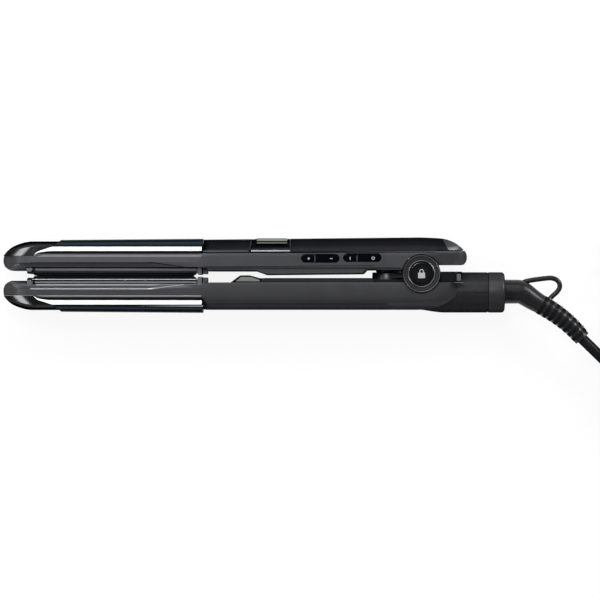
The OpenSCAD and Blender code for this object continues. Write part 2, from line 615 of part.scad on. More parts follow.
tie_t = 0.6;
module rounded_box(w, h, r) {
  translate([r, 0]) square([w - 2 * r, h]);
  translate([0, r]) square([w, h - 2 * r]);
  for (x = [r, w - r]) for (y = [r, h - r]) translate([x, y]) circle(r);
}
module cord_tie() color(DARK) {
  x0 = coil_c[0] - coil_out - cord_d / 2 - 0.4;
  x1 = coil_c[0] - coil_radius(turns_per_layer - 0.0001) + cord_d / 2 + 1.2;
  top = coil_z + climb(coil_turns) + cord_d / 2 + 0.4;
  translate([0, coil_c[1] + 6, 0]) rotate([90, 0, 0]) linear_extrude(12) difference() {
    translate([x0 - tie_t, 0]) rounded_box(x1 - x0 + 2 * tie_t, top + tie_t, 2.6);
    translate([x0, tie_t]) rounded_box(x1 - x0, top - tie_t, 2);
  }
}

plug_z = plug_t / 2 + 0.05;
plug_y = 14;
plug_face = 126.6;
plug_back = 151;
module plug_body() color(DARK) translate([0, plug_y, plug_z]) {
  intersection() {
    translate([0, 0, -plug_t / 2]) linear_extrude(plug_t) polygon([
      [plug_face, -plug_w / 2 + 1], [plug_face + 1, -plug_w / 2], [plug_face + 8, -plug_w / 2],
      [plug_face + 14, -plug_w / 2 + 2.4], [plug_back - 1.5, -6], [plug_back, -4.6], [plug_back, 4.6],
      [plug_back - 1.5, 6], [plug_face + 14, plug_w / 2 - 2.4], [plug_face + 8, plug_w / 2],
      [plug_face + 1, plug_w / 2], [plug_face, plug_w / 2 - 1]]);
    rotate([90, 0, 0]) translate([0, 0, -plug_w]) linear_extrude(2 * plug_w) polygon([
      [plug_face, -plug_t / 2], [plug_back - 8, -plug_t / 2], [plug_back, -4.8], [plug_back, 4.8],
      [plug_back - 8, plug_t / 2], [plug_face, plug_t / 2]]);
  }
  translate([plug_back - 0.1, 0, 0]) rotate([0, 90, 0])
    cylinder(r1 = 4.6, r2 = cord_d / 2 + 0.7, h = 160 - plug_back + 0.1);
}
module plug_pins() color(BRASS) translate([0, plug_y, plug_z]) for (s = [-1, 1])
  translate([0, s * 6.35, 0]) difference() {
    translate([109, -0.75, -3.15]) cube([plug_face - 109, 1.5, 6.3]);
    translate([112.5, 0, 0]) rotate([90, 0, 0]) cylinder(d = 3, h = 4, center = true);
  }

// ---- Springs ----
module coil_spring(r, wire, h, turns) {
  steps = turns * 12;
  path = [for (i = [0:steps]) [r * cos(i * 30), r * sin(i * 30), wire / 2 + (h - wire) * i / steps]];
  even_tube(path, wire, 6);
}
module opening_spring() color(STEEL) lower() translate([boss_x, spring_seat - 0.05, mid_z])
  rotate([90, 0, 0]) coil_spring(3.6, 0.9, spring_seat + 2, 5);
module lock_spring() color(STEEL) translate([0, 0, pocket_z + 0.05])
  coil_spring(3.5, 0.6, spring_z1 - pocket_z - 0.1, 3);

// ---- Upper arm ----
tail_round = 5.5;
deck_u = seam_u - 0.3;              // underside of the deck that carries the knuckle
module upper_outline() {
  nose_outline();
  top = seam_u - 0.2;
  polygon(concat(
    [[handle_x, upper_edge], [handle_x, top]],
    [[upper_tail - 1.9, top + rise(upper_tail)]],
    arc([upper_tail - tail_round, seam_u - 2.3], tail_round, 42, -51, 8),
    [[10, 6.3], [0, 6.3], [0, upper_edge]]));
}
cover_top = key_u - 3.4;            // inner face of the upper handle's inner cover
rib_top = seam_u - 1.9;
module upper_arm_frame() color(GRAPHITE) {
  upper() difference() {
    intersection() {
      side() upper_outline();
      plan(-1, 25) rounded_ends(tip, upper_tail, tip_r, 7);
    }
    translate([0, -close_y, -1]) cylinder(r = cut_r, h = body_w + 2);
    front_cavities();
    creases();
    block([bulkhead + wall, -1, wall], [-14, 30, body_w - wall]);
    block([-14.1, -1, wall], [14, deck_u, body_w - wall]);
    block([13.9, 8.3, wall], [upper_tail - 4, 30, body_w - wall]);
    key_panel(panel_depth, 0);
    for (k = [0, 1]) side(body_w - wall - 1, body_w + 1) pill(k, run_gap);
  }
  upper() difference() {
    block([upper_screw_x - 2.5, cover_top + 0.1, wall - 0.1], [upper_screw_x + 2.5, rib_top, body_w - wall + 0.1]);
    screw_thread(upper_screw_x, cover_top);
  }
}
module upper_front_cover() color(GLOSS) upper() front_cover();
module upper_trim() color(CHROME) upper() trim();
module upper_tip_cap() color(GLOSS) upper() tip_cap();
module upper_plate_carrier() color(GREY) upper() plate_carrier();
module upper_end_blocks() color(GREY) upper() end_blocks(upper_edge);
module upper_pads() color("white") upper() pads();
module upper_plate() color(DARK) upper() plate(0);
module upper_heater() color("white") upper() heater();

// Handle cover and display band share one tilted, crowned form
module tilted(x0, x1, inset) translate([handle_x, 0, 0]) rotate([0, 0, handle_tilt])
  along(x0, x1) crown_section(-10, upper_handle_h, inset);
module handle_form(inset) intersection() {
  tilted(0.2 + inset, 170, inset);
  side(-1, body_w + 1) polygon(concat(
    [[handle_x + 0.2 + inset, seam_u + 0.2 - 12 * inset], [handle_x + 0.2 + inset, 30], [back_x, 30]],
    arc([back_x, upper_handle_h + rise(back_x) - 23], 23 - inset, 90, 44, 8),
    [[upper_tail - 2 - 1.5 * inset, seam_u + 0.2 + rise(upper_tail) - 12 * inset]]));
  plan(-20, 30) rounded_ends(handle_x - 20, upper_tail - 1.2 * inset, 3, 7 - inset, inset);
}
back_x = upper_tail - 18.4;         // where the handle's top starts to round down to the tail
bezel_front = -bezel_rear - bezel_len;
band_lo = seam_u + 1.5;
skin_t = 0.9;                       // thickness of the gloss band over the cover
glass_proud = 0.45;
module band(g) side(-2, body_w + 2) polygon([[bezel_front - 1.2 - g, band_lo - g], [bezel_front + 0.6 - g, 30],
  [-bezel_rear + g, 30], [-bezel_rear + g, band_lo - g]]);
module strip_zone(g) side(-2, body_w + 2) polygon([[bezel_front - 1.2 - g, seam_u - 1],
  [bezel_front - 1.2 - g, band_lo + g], [-bezel_rear + g, band_lo + g], [-bezel_rear + g, seam_u - 1]]);
window_u = upper_handle_h - 2.3;
module window_zone(g) side(-2, body_w + 2) translate([-bezel_rear - 1.5 - window_len - g, window_u - g])
  square([window_len + 2 * g, 10]);
module upper_handle_cover() color(GRAPHITE) upper() difference() {
  handle_form(0);
  handle_form(wall);
  difference() {
    union() {
      band(seam_gap);
      strip_zone(seam_gap);
    }
    handle_form(skin_t + seam_gap);
  }
  window_zone(-1.2);
}
module display_bezel() color(GLOSS) upper() difference() {
  intersection() {
    handle_form(0);
    band(0);
  }
  handle_form(skin_t);
  window_zone(0);
}
module display_trim() color(CHROME) upper() difference() {
  intersection() {
    handle_form(0);
    strip_zone(0);
  }
  handle_form(skin_t);
  band(seam_gap);
}
module display_window() color(LCD) upper() difference() {
  intersection() {
    tilted(10, 70, -glass_proud);
    window_zone(-seam_gap);
  }
  tilted(5, 75, skin_t);
}
lcd_w = 18;
module lcd_panel() color(GREY) upper() block([-bezel_rear - window_len - 0.2, window_u - 2.2, mid_z - lcd_w / 2],
  [-bezel_rear - 2.8, window_u - 0.1, mid_z + lcd_w / 2]);

// ---- Keys ----
keys_x0 = -69.2;
keys_gap = 2.4;                      // between the two pills
pill_len = 21.8;
short_len = 8;                      // the front key of each pill
key_split = 0.3;
keys_tilt_u = 0.4;
keys_x1 = keys_x0 + 2 * pill_len + keys_gap;
panel_depth = 0.4;
module key_panel(depth, g) side(body_w - depth, body_w + 1) translate([keys_x0 - 2 + g, key_u - 4 + g])
  square([keys_x1 - keys_x0 + 4 - 2 * g, 7.2 - 2 * g]);
module pill(k, g) {
  x = keys_x0 + k * (pill_len + keys_gap);
  u = key_u + k * keys_tilt_u;
  h = key_h / 2 + g;
  translate([x + key_h / 2, u - h]) square([pill_len - key_h, 2 * h]);
  for (c = [x + key_h / 2, x + pill_len - key_h / 2]) translate([c, u]) circle(h);
}
module key_bezel() color(GRAPHITE) upper() intersection() {
  key_panel(panel_depth, seam_gap);
  difference() {
    block([keys_x0 - 3, 0, body_w - panel_depth + 0.02], [keys_x1 + 3, 20, body_w - 0.1]);
    for (k = [0, 1]) side(0, body_w + 1) pill(k, run_gap * 0.7);
  }
}
skirt = 0.2;                        // way that the keys reach past the wall at rest
switch_z = body_w - wall - skirt - key_travel - 0.9;
function key_x(k, rear) = keys_x0 + k * (pill_len + keys_gap) + (rear ? (short_len + pill_len) / 2 : short_len / 2);
module key(k, rear) color(GLOSS) upper() {
  split = keys_x0 + k * (pill_len + keys_gap) + short_len;
  side(body_w - wall - skirt, body_w + key_proud) intersection() {
    pill(k, 0);
    translate([rear ? split + key_split / 2 : split - 20, 0]) square([rear ? pill_len : 20 - key_split / 2, 20]);
  }
  translate([key_x(k, rear), key_u + k * keys_tilt_u, switch_z + key_travel + 0.1])
    cylinder(d = 2.4, h = body_w - wall - skirt - switch_z - key_travel);
}
module key_plus() key(0, false);
module key_minus() key(0, true);
module key_on() key(1, false);
module key_off() key(1, true);
module control_board() upper() {
  top = switch_z - 1.8;
  color(BOARD) block([keys_x0 - 4, cover_top + 0.2, top - board_t], [keys_x1 + 4, key_u + 4, top]);
  color(DARK) for (k = [0, 1]) for (rear = [false, true]) translate([key_x(k, rear), key_u + k * keys_tilt_u, top]) {
    translate([-2, -2, 0]) cube([4, 4, 1.2]);
    cylinder(d = 2, h = switch_z - top);
  }
  color(GREY) for (x = [keys_x0 - 2.5, keys_x1 + 2.5])
    translate([x, key_u, top - 0.1]) cylinder(d = 2.4, h = body_w - wall - top);
}

// ---- Upper handle's inner side ----
lip_lo = 2.7;
lip_deep = 1;
lip_slope = handle_x + 30.8;
module upper_inner_cover() color(DARK) difference() {
  upper() {
    intersection() {
      side(lip_z, body_w - lip_z) polygon([[bulkhead + wall + 0.3, lip_lo], [lip_slope, lip_lo],
        [lip_slope + 2, lip_lo - 0.5], [lip_slope + 5.7, lip_deep], [-32.8, lip_deep], [-30.6, 3.4],
        [-8, 3.4], [-8, cover_top], [bulkhead + wall + 0.3, cover_top]]);
      union() {
        block([handle_x, 0, wall + seam_gap], [-14.2, 10, body_w - wall - seam_gap]);
        block([handle_x, 0, lip_z], [0, upper_edge - 0.05, body_w - lip_z]);
      }
    }
    translate([boss_x, 2.25, mid_z]) rotate([-90, 0, 0]) cylinder(r = 6.6, h = 1.4);
  }
  translate([0, 0, -1]) cylinder(r = cut_r, h = body_w + 2);
  upper() screw_holes(upper_screw_x, cover_top - 2.5);
}
module upper_screws() color(STEEL) upper() screw(upper_screw_x, cover_top - 2.5);
upper_wire_len = cover_rear - 22;
module upper_wires() color("white") upper() for (z = [-3, 3])
  translate([bulkhead + wall + 0.1, rib_top + 1.1, mid_z + z]) rotate([0, 90, 0])
    cylinder(d = 2, h = upper_wire_len);

lower_arm_shell();
lower_front_cover();
lower_trim();
lower_tip_cap();
lower_inner_cover();
lower_bump_stop();
lower_plate_carrier();
lower_end_blocks();
lower_pads();
thermal_fuse();
power_board();
lower_wires();
lower_screws();
hinge_stop();
hinge_bezel();
back_hinge_cap();
hinge_pin();
opening_spring();
lock_spring();
tail_housing_top();
tail_housing_bottom();
swivel_collar();
swivel_brushes();
upper_arm_frame();
upper_front_cover();
upper_trim();
upper_tip_cap();
upper_handle_cover();
display_bezel();
display_window();
lcd_panel();
display_trim();
control_board();
key_bezel();
upper_inner_cover();
upper_plate_carrier();
upper_end_blocks();
upper_pads();
upper_wires();
upper_screws();
hinge_knuckle();
upper_plate();
upper_heater();
lower_plate();
lower_heater();
lock_button();
key_plus();
key_minus();
key_on();
key_off();
swivel_barrel();
contact_rings();
strain_relief();
hanging_loop();
cord_lead();
cord_coil();
cord_tail();
cord_tie();
plug_body();
plug_pins();
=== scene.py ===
import bpy
import bmesh
import json
import math
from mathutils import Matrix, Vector


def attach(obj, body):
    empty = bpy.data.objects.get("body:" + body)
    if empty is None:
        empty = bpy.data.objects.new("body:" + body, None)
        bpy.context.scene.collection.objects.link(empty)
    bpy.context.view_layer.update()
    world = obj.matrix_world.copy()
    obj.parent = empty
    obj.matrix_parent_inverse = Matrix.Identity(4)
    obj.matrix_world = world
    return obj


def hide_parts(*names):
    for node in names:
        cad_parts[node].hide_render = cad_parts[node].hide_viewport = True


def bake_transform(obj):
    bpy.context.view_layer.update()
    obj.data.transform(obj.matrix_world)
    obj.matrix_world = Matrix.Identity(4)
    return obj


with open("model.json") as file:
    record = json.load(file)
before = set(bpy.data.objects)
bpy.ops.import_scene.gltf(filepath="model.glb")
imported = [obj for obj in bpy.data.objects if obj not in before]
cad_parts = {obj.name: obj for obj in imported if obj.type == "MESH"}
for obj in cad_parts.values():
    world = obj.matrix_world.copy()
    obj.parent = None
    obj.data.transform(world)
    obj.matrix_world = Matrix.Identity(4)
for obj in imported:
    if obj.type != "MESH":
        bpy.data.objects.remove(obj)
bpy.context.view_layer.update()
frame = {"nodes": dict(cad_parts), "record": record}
nodes = frame["nodes"]
BODY = {node: body for body, members in frame["record"]["behaviour"]["bodies"].items() for node in members}
scene = bpy.context.scene
scene.view_settings.view_transform = "Standard"

# ---- Camera: square to the side face, in metres ----
PICTURE_W = 0.345  # width of the picture at the front of the arms
FRONT_Z = 0.034
CAM_DIST = 1.9
CAM_X = -0.0699
CAM_Y = -0.0151
SENSOR_W = 36
cam_data = bpy.data.cameras.new("camera")
cam = bpy.data.objects.new("camera", cam_data)
scene.collection.objects.link(cam)
cam.location = (CAM_X, CAM_Y, FRONT_Z + CAM_DIST)
cam_data.sensor_width = SENSOR_W
cam_data.lens = SENSOR_W * CAM_DIST / PICTURE_W
cam_data.clip_start = 0.1
cam_data.clip_end = 20
scene.camera = cam

# ---- Materials ----
PLASTIC_IOR = 1.5
ROUGH_SWING = 0.05  # how far the grain moves the roughness up and down
ROUGH_LEAST = 0.02
FINE_GRAIN = 2600
RUBBER_GRAIN = 1500
GRAIN_HEIGHT = 0.00003
CLOUD_SCALE = 90  # size of the faint clouds in the colour


def nodes_of(material):
    """The node tree's nodes and links of a material."""
    material.use_nodes = True
    return material.node_tree.nodes, material.node_tree.links


def fill(node, **values):
    """Sets inputs of a shader node. An underscore stands for a blank in an input's name."""
    for name, value in values.items():
        node.inputs[name.replace("_", " ")].default_value = value


def noise(n, l, coordinates, scale, detail):
    """A noise texture in the object's own space."""
    texture = n.new("ShaderNodeTexNoise")
    fill(texture, Scale=scale, Detail=detail)
    l.new(coordinates.outputs["Object"], texture.inputs["Vector"])
    return texture.outputs["Fac"]


def uneven_roughness(n, l, shader, grain, rough):
    """Roughness that swings a little with the grain."""
    ramp = n.new("ShaderNodeMapRange")
    fill(ramp, From_Min=0.3, From_Max=0.7)
    fill(ramp, To_Min=max(ROUGH_LEAST, rough - ROUGH_SWING), To_Max=rough + ROUGH_SWING)
    l.new(grain, ramp.inputs["Value"])
    l.new(ramp.outputs["Result"], shader.inputs["Roughness"])


def uneven_color(n, l, shader, clouds, color, spread):
    """A colour that drifts between a darker and a lighter tone."""
    mix = n.new("ShaderNodeMix")
    mix.data_type = "RGBA"
    mix.inputs[6].default_value = (*[c * (1 - spread) for c in color], 1)
    mix.inputs[7].default_value = (*[min(1, c * (1 + spread)) for c in color], 1)
    l.new(clouds, mix.inputs[0])
    l.new(mix.outputs[2], shader.inputs["Base Color"])


def plastic(name, color, rough, grain=0.0, grain_scale=FINE_GRAIN, spread=0.12, metallic=0.0, spec=0.5,
            edge=(1, 1, 1)):
    """Moulded material with a fine grain in its bump, roughness and colour."""
    material = bpy.data.materials.new(name)
    n, l = nodes_of(material)
    shader = n["Principled BSDF"]
    fill(shader, Metallic=metallic, IOR=PLASTIC_IOR, Specular_IOR_Level=spec, Specular_Tint=(*edge, 1))
    coordinates = n.new("ShaderNodeTexCoord")
    fine = noise(n, l, coordinates, grain_scale, 3)
    uneven_roughness(n, l, shader, fine, rough)
    uneven_color(n, l, shader, noise(n, l, coordinates, CLOUD_SCALE, 4), color, spread)
    if grain:
        bump = n.new("ShaderNodeBump")
        fill(bump, Strength=grain, Distance=GRAIN_HEIGHT)
        l.new(fine, bump.inputs["Height"])
        l.new(bump.outputs["Normal"], shader.inputs["Normal"])
    return material


def deep(name, color, rough, **finish):
    """A dark finish without a clear outer reflection, so the white floor doesn't grey its edges."""
    return plastic(name, color, rough, spec=0, edge=(0, 0, 0), **finish)


# Arms, handle and tail
GRAPHITE = deep("graphite", (0.057, 0.0575, 0.062), 0.38, grain=0.3, metallic=0.55)
COVER = deep("handle_cover", (0.0135, 0.0138, 0.016), 0.42, grain=0.3, metallic=0.75)
# A lighter copy of the handle cover for its tail, which paints the highlight there.
TAIL_COVER_HIGHLIGHT = deep("tail_cover_painted_highlight", (0.075, 0.076, 0.081), 0.4, metallic=0.8)
GLOSS = deep("gloss_blue_black", (0.035, 0.048, 0.060), 0.22, metallic=0.85, spread=0.05)
CAP = deep("gloss_cap", (0.045, 0.0455, 0.047), 0.19, metallic=1.0, spread=0.03)
HOUSING = deep("tail_graphite", (0.027, 0.0273, 0.0293), 0.4, grain=0.3, metallic=0.55)
COLLAR = deep("collar_graphite", (0.04, 0.0403, 0.0433), 0.4, grain=0.3, metallic=0.55)
RING = deep("ring_dark", (0.035, 0.0353, 0.038), 0.35, grain=0.3, metallic=0.7)
# A lighter copy of the ring's material for its beads. It paints highlights along them, and the lamps add to
# these.
BEAD = deep("ring_bead_painted_highlight", (0.10, 0.101, 0.105), 0.3, metallic=0.8)
CUP = deep("cup_grey", (0.07, 0.0705, 0.074), 0.32, grain=0.2, metallic=0.8)
CUP_SHADE = deep("cup_shade", (0.034, 0.0342, 0.037), 0.4, grain=0.3, metallic=0.5)
DARK = deep("inner_dark", (0.012, 0.0122, 0.013), 0.5, grain=0.4, metallic=0.4)
BLACK = deep("inner_black", (0.006, 0.006, 0.007), 0.5, grain=0.4, metallic=0.4)
BLACK_GLOSS = deep("stop_black", (0.02, 0.0205, 0.022), 0.3, grain=0.2, metallic=0.8)

# Edges and small parts, from dark to light; several of them paint highlights and shade along edges
# Paints shade on the lower lip, and a highlight along the handle cover's lower edge.
LIP = deep("graphite_painted_shade_and_highlight", (0.022, 0.0223, 0.0235), 0.45, grain=0.3, metallic=0.4)
# Paints highlights along the handle's edges.
HANDLE_HIGHLIGHT = deep("handle_highlight", (0.1, 0.101, 0.107), 0.4, grain=0.3, metallic=0.55)
GREY = deep("light_grey", (0.11, 0.111, 0.12), 0.38, grain=0.3, metallic=0.5)
# A lighter copy of the carriers' grey for the upper holder: painted light.
HOLDER_LIT_GREY = deep("holder_grey_painted_light", (0.15, 0.151, 0.156), 0.38, grain=0.3, metallic=0.5)
BUMP = deep("bump_grey", (0.17, 0.171, 0.175), 0.4, grain=0.3, metallic=0.5)
# Paints dimmer highlights: the upper arm's edge line and the strain relief's lugs.
DIM_HIGHLIGHT_GREY = deep("dim_highlight_grey", (0.17, 0.171, 0.177), 0.38, grain=0.3, metallic=0.55)
# Paints the lower arm's highlight lines.
LINE = deep("edge_line", (0.27, 0.272, 0.28), 0.35, grain=0.3, metallic=0.6)

# Plates, metals and inner parts
PLATE = deep("plate_coating", (0.006, 0.006, 0.007), 0.3, metallic=0.5, spread=0.05)
CHROME = plastic("chrome", (0.93, 0.93, 0.94), 0.5, metallic=1.0, spread=0.01)
DIM = plastic("dim_chrome", (0.42, 0.42, 0.43), 0.4, metallic=1.0, spread=0.01)
STEEL = plastic("steel", (0.55, 0.56, 0.58), 0.3, metallic=1.0, spread=0.05)
BRASS = plastic("brass", (0.75, 0.56, 0.25), 0.28, metallic=1.0, spread=0.05)
CERAMIC = plastic("ceramic", (0.7, 0.69, 0.66), 0.55, grain=0.3)
SILICONE = plastic("silicone", (0.65, 0.65, 0.63), 0.6, grain=0.2)
BOARD = plastic("circuit_board", (0.02, 0.14, 0.05), 0.4, spread=0.2)

# Display, keys and signs
GLASS = deep("display_glass", (0.011, 0.0125, 0.0145), 0.2, metallic=0.9, spread=0.05)
LCD = plastic("display_pale", (0.16, 0.175, 0.15), 0.35, spread=0.04)
LCD_LOW = plastic("display_shade", (0.075, 0.093, 0.07), 0.35, spread=0.04)
KEY = deep("key_gloss", (0.015, 0.0155, 0.026), 0.15, metallic=1.0, spread=0.05)
WHITE = plastic("symbol_white", (0.30, 0.31, 0.33), 0.4, spread=0.03)

# Cord and strain relief
RUBBER = deep("soft_rubber", (0.0105, 0.0107, 0.0117), 0.4, grain=0.5, grain_scale=RUBBER_GRAIN, metallic=0.5)
CORD = deep("cord_rubber", (0.0135, 0.0137, 0.015), 0.4, grain=0.5, grain_scale=RUBBER_GRAIN, metallic=0.5)
CORE = plastic("relief_core", (0.01, 0.0102, 0.0112), 0.32, grain=0.4, grain_scale=RUBBER_GRAIN, spec=0.2)
PLUG = deep("plug_plastic", (0.012, 0.0122, 0.0135), 0.45, grain=0.5, metallic=0.3)

WORN_BY = (
    (GRAPHITE, ("lower_arm_shell", "upper_arm_frame", "upper_inner_cover", "key_bezel", "hinge_bezel",
                "tail_housing_top", "tail_housing_bottom")),
    (COLLAR, ("swivel_collar",)),
    (COVER, ("upper_handle_cover",)),
    (GLOSS, ("lower_front_cover", "upper_front_cover")),
    (GLASS, ("display_bezel",)),
    (CAP, ("lower_tip_cap", "upper_tip_cap", "lock_button")),
    (CHROME, ("lower_trim", "upper_trim", "display_trim")),
    (DARK, ("lower_inner_cover", "hinge_stop", "back_hinge_cap", "swivel_barrel")),
    (GREY, ("lower_bump_stop", "lower_plate_carrier", "upper_plate_carrier", "lower_end_blocks",
            "upper_end_blocks", "lcd_panel")),
    (STEEL, ("hinge_pin", "opening_spring", "lock_spring", "hinge_knuckle", "lower_screws", "upper_screws",
             "thermal_fuse")),
    (PLATE, ("upper_plate", "lower_plate")),
    (CERAMIC, ("upper_heater", "lower_heater")),
    (SILICONE, ("lower_pads", "upper_pads", "lower_wires", "upper_wires")),
    (BRASS, ("swivel_brushes", "contact_rings", "plug_pins")),
    (BOARD, ("power_board", "control_board")),
    (LCD, ("display_window",)),
    (KEY, ("key_plus", "key_minus", "key_on", "key_off")),
    (RUBBER, ("strain_relief", "hanging_loop", "cord_tie")),
    (CORD, ("cord_lead", "cord_coil", "cord_tail")),
    (PLUG, ("plug_body",)),
)
LOOKS = {node: look for look, members in WORN_BY for node in members}
for name, look in LOOKS.items():
    nodes[name].data.materials.clear()
    nodes[name].data.materials.append(look)

# ---- Sizes that the pieces share: mm, and u is a height over the closing plane, on either arm ----
MM = 0.001
CLOSE_Y = -0.0011  # m, where the plates meet
BODY_W = 34  # width along the hinge axis, which is z
MID = BODY_W / 2
MID_Z = MID * MM
TIP = -240  # x of the solids' tips
HANDLE_X = -126  # x where the front covers end and the handle begins


# ---- Tools ----
def ease(q):
    """0 to 1 with a soft start and end."""
    q = min(1, max(0, q))
    return q * q * (3 - 2 * q)


def smoothstep(a, b, v):
    return ease((v - a) / (b - a))


def along_points(points, v, by=0):
    """Linear reading of the other coordinate along points that rise in one of them."""
    for a, b in zip(points, points[1:]):
        if v <= b[by] or b is points[-1]:
            f = (v - a[by]) / (b[by] - a[by])
            return a[1 - by] + (b[1 - by] - a[1 - by]) * min(1, max(0, f))


def box(x0, y0, x1, y1):
    """The corners of a rectangle."""
    return [(x0, y0), (x1, y0), (x1, y1), (x0, y1)]


def bar(cx, cy, w, h):
    """The corners of a rectangle round its middle."""
    return box(cx - w / 2, cy - h / 2, cx + w / 2, cy + h / 2)


def slanted(x0, u0, x1, u1, w0, w1):
    """The corners of a slanted line that is w0 wide at its start and w1 at its end."""
    return [(x0, u0), (x1, u1), (x1, u1 + w1), (x0, u0 + w0)]


def arc(cx, cy, r, a0, a1, n):
    """Points on an arc from one angle to another, in degrees."""
    angles = [math.radians(a0 + (a1 - a0) * i / n) for i in range(n + 1)]
    return [(cx + r * math.cos(a), cy + r * math.sin(a)) for a in angles]


def spline(points, per):
    """Catmull-Rom curve through points."""
    pts = [Vector(p) for p in points]
    pts = [2 * pts[0] - pts[1]] + pts + [2 * pts[-1] - pts[-2]]
    out = []
    for i in range(1, len(pts) - 2):
        p0, p1, p2, p3 = pts[i - 1:i + 3]
        for k in range(per):
            t = k / per
            out.append(0.5 * (2 * p1 + (p2 - p0) * t + (2 * p0 - 5 * p1 + 4 * p2 - p3) * t * t
                              + (3 * p1 - p0 - 3 * p2 + p3) * t * t * t))
    out.append(pts[-2])
    return out


def path_length(points):
    return sum((b - a).length for a, b in zip(points, points[1:]))


def even_points(points, n):
    """Points at equal distances along a polyline."""
    marks = [0]
    for a, b in zip(points, points[1:]):
        marks.append(marks[-1] + (b - a).length)
    out = []
    k = 0
    for i in range(n + 1):
        want = marks[-1] * i / n
        while k < len(points) - 2 and marks[k + 1] < want:
            k += 1
        out.append(points[k].lerp(points[k + 1], (want - marks[k]) / (marks[k + 1] - marks[k])))
    return out


def link(name, mesh, material):
    """Puts a mesh into the scene in one material."""
    o = bpy.data.objects.new(name, mesh)
    scene.collection.objects.link(o)
    mesh.materials.clear()
    mesh.materials.append(material)
    return o


def smooth(mesh, angle):
    """Smooth shading that stops at edges sharper than an angle."""
    for p in mesh.polygons:
        p.use_smooth = True
    bm = bmesh.new()
    bm.from_mesh(mesh)
    for e in bm.edges:
        e.smooth = len(e.link_faces) == 2 and e.calc_face_angle(0) < math.radians(angle)
    bm.to_mesh(mesh)
    bm.free()


def bevel(o, width, segments, angle=30):
    """Rounds an object's sharp edges."""
    b = o.modifiers.new("edge", "BEVEL")
    b.width = width * MM
    b.segments = segments
    b.limit_method = "ANGLE"
    b.angle_limit = math.radians(angle)
    b.harden_normals = True


def seat(o, body, stands_for=()):
    """Ties a piece to its body and hides the CAD nodes that it stands for."""
    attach(o, body)
    if stands_for:
        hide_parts(*stands_for)


def mesh_object(name, bm, material, angle=35):
    """Turns a bmesh into an object with its normals outwards."""
    bmesh.ops.recalc_face_normals(bm, faces=bm.faces)
    mesh = bpy.data.meshes.new(name)
    bm.to_mesh(mesh)
    bm.free()
    o = link(name, mesh, material)
    smooth(mesh, angle)
    return o


def bridge(bm, rings):
    """Joins closed rings of vertices by quads, each to the next."""
    for r0, r1 in zip(rings, rings[1:]):
        for i in range(len(r0)):
            j = (i + 1) % len(r0)
            bm.faces.new((r0[i], r0[j], r1[j], r1[i]))


def close_ends(bm, rings, way=-1):
    """Closes the first and the last ring by a face, wound backwards or forwards."""
    bm.faces.new(rings[0][::way])
    bm.faces.new(rings[-1][::-way])


def cut(bm, point, normal, **how):
    """Cuts a whole mesh by a plane."""
    everything = bm.verts[:] + bm.edges[:] + bm.faces[:]
    bmesh.ops.bisect_plane(bm, geom=everything, plane_co=point, plane_no=normal, **how)


def tube(name, path, radius, sides, material):
    """A smooth tube along points in metres. Its radius may depend on the place, from 0 to 1."""
    path = [Vector(p) for p in path]
    turns = [2 * math.pi * j / sides for j in range(sides)]
    bm = bmesh.new()
    rings = []
    for i, p in enumerate(path):
        t = (path[min(i + 1, len(path) - 1)] - path[max(i - 1, 0)]).normalized()
        a = Vector((0, 0, 1)).cross(t).normalized()
        b = t.cross(a)
        r = radius(i / (len(path) - 1)) if callable(radius) else radius
        rings.append([bm.verts.new(p + r * (math.cos(w) * a + math.sin(w) * b)) for w in turns])
    bridge(bm, rings)
    close_ends(bm, rings)
    return mesh_object(name, bm, material, 50)


LATHE_SIDES = 96


def lathe(name, profile, centre, axis, material):
    """Turns (radius, height) points round an axis through a centre."""
    turn = Vector(axis).to_track_quat("Z", "Y")
    bm = bmesh.new()
    rings = []
    for r, h in profile:
        count = LATHE_SIDES if r else 1
        angles = [2 * math.pi * j / count for j in range(count)]
        local = [Vector((r * MM * math.cos(a), r * MM * math.sin(a), h * MM)) for a in angles]
        rings.append([bm.verts.new(Vector(centre) * MM + turn @ p) for p in local])
    for a, b in zip(rings, rings[1:] + rings[:1]):
        for j in range(LATHE_SIDES):
            k = (j + 1) % LATHE_SIDES
            quad = [a[j % len(a)], a[k % len(a)], b[k % len(b)], b[j % len(b)]]
            corners = list(dict.fromkeys(quad))
            if len(corners) > 2:
                bm.faces.new(corners)
    return mesh_object(name, bm, material)


# ---- Form of the moulded side faces ----
NOSE_REACH = 1.5  # how far the tips run out over their solids, as the wide view shows them
NOSE_IN = (TIP + 14, TIP + 1)
TIP_ROUND = 16  # length over which the tips draw in, along slanted lines over the nose
TIP_SLANT = -0.76
TIP_FALL = 0.022
CAP_LO = 11.4  # u where the tip caps begin
CREASE_U = 7.35  # crease beside the plates: a step with its width, depth and end
CREASE_W = 0.4
CREASE_DEPTH = 0.4
CREASE_OUT = (-159, -152)
FRONT_SLOPE = 0.05  # slight crown over the crease, between two heights
SLOPE_U = (7.4, 13)
FRONT_ROUND = 0.6
ROUND_U = 11.9
HANDLE_IN = (HANDLE_X - 4, HANDLE_X + 4)
REAR_FALLS = {  # the handle's falls: start height, rate and power
    True: ((5, 0.01, 2), (11.5, 0.03, 2), (15, 0.12, 1)),
    False: ((11, 0.02, 2), (15, 0.14, 1)),
}
SWEEP_X = -2  # where the lower handle's underside sweeps up to its tail
SWEEP_LEN = 25.5
SWEEP_H = 15.55
LOWER_EDGE = 3.85  # u of the lower handle's inner edge
LOWER_END = (12, 0.02)  # x where an end rounds off, and how fast
COVER_END = (8, 0.022)
HOLLOW_FALL = 0.27  # fall of the upper side body beside the hinge ring, under a height
HOLLOW_U = 13
HOLLOW_IN = (2, 12)
HOLLOW_OUT = (18, 24)


def nose_reach(x):
    """The x of a point once the tips run out."""
    return x - NOSE_REACH * smoothstep(*NOSE_IN, x)


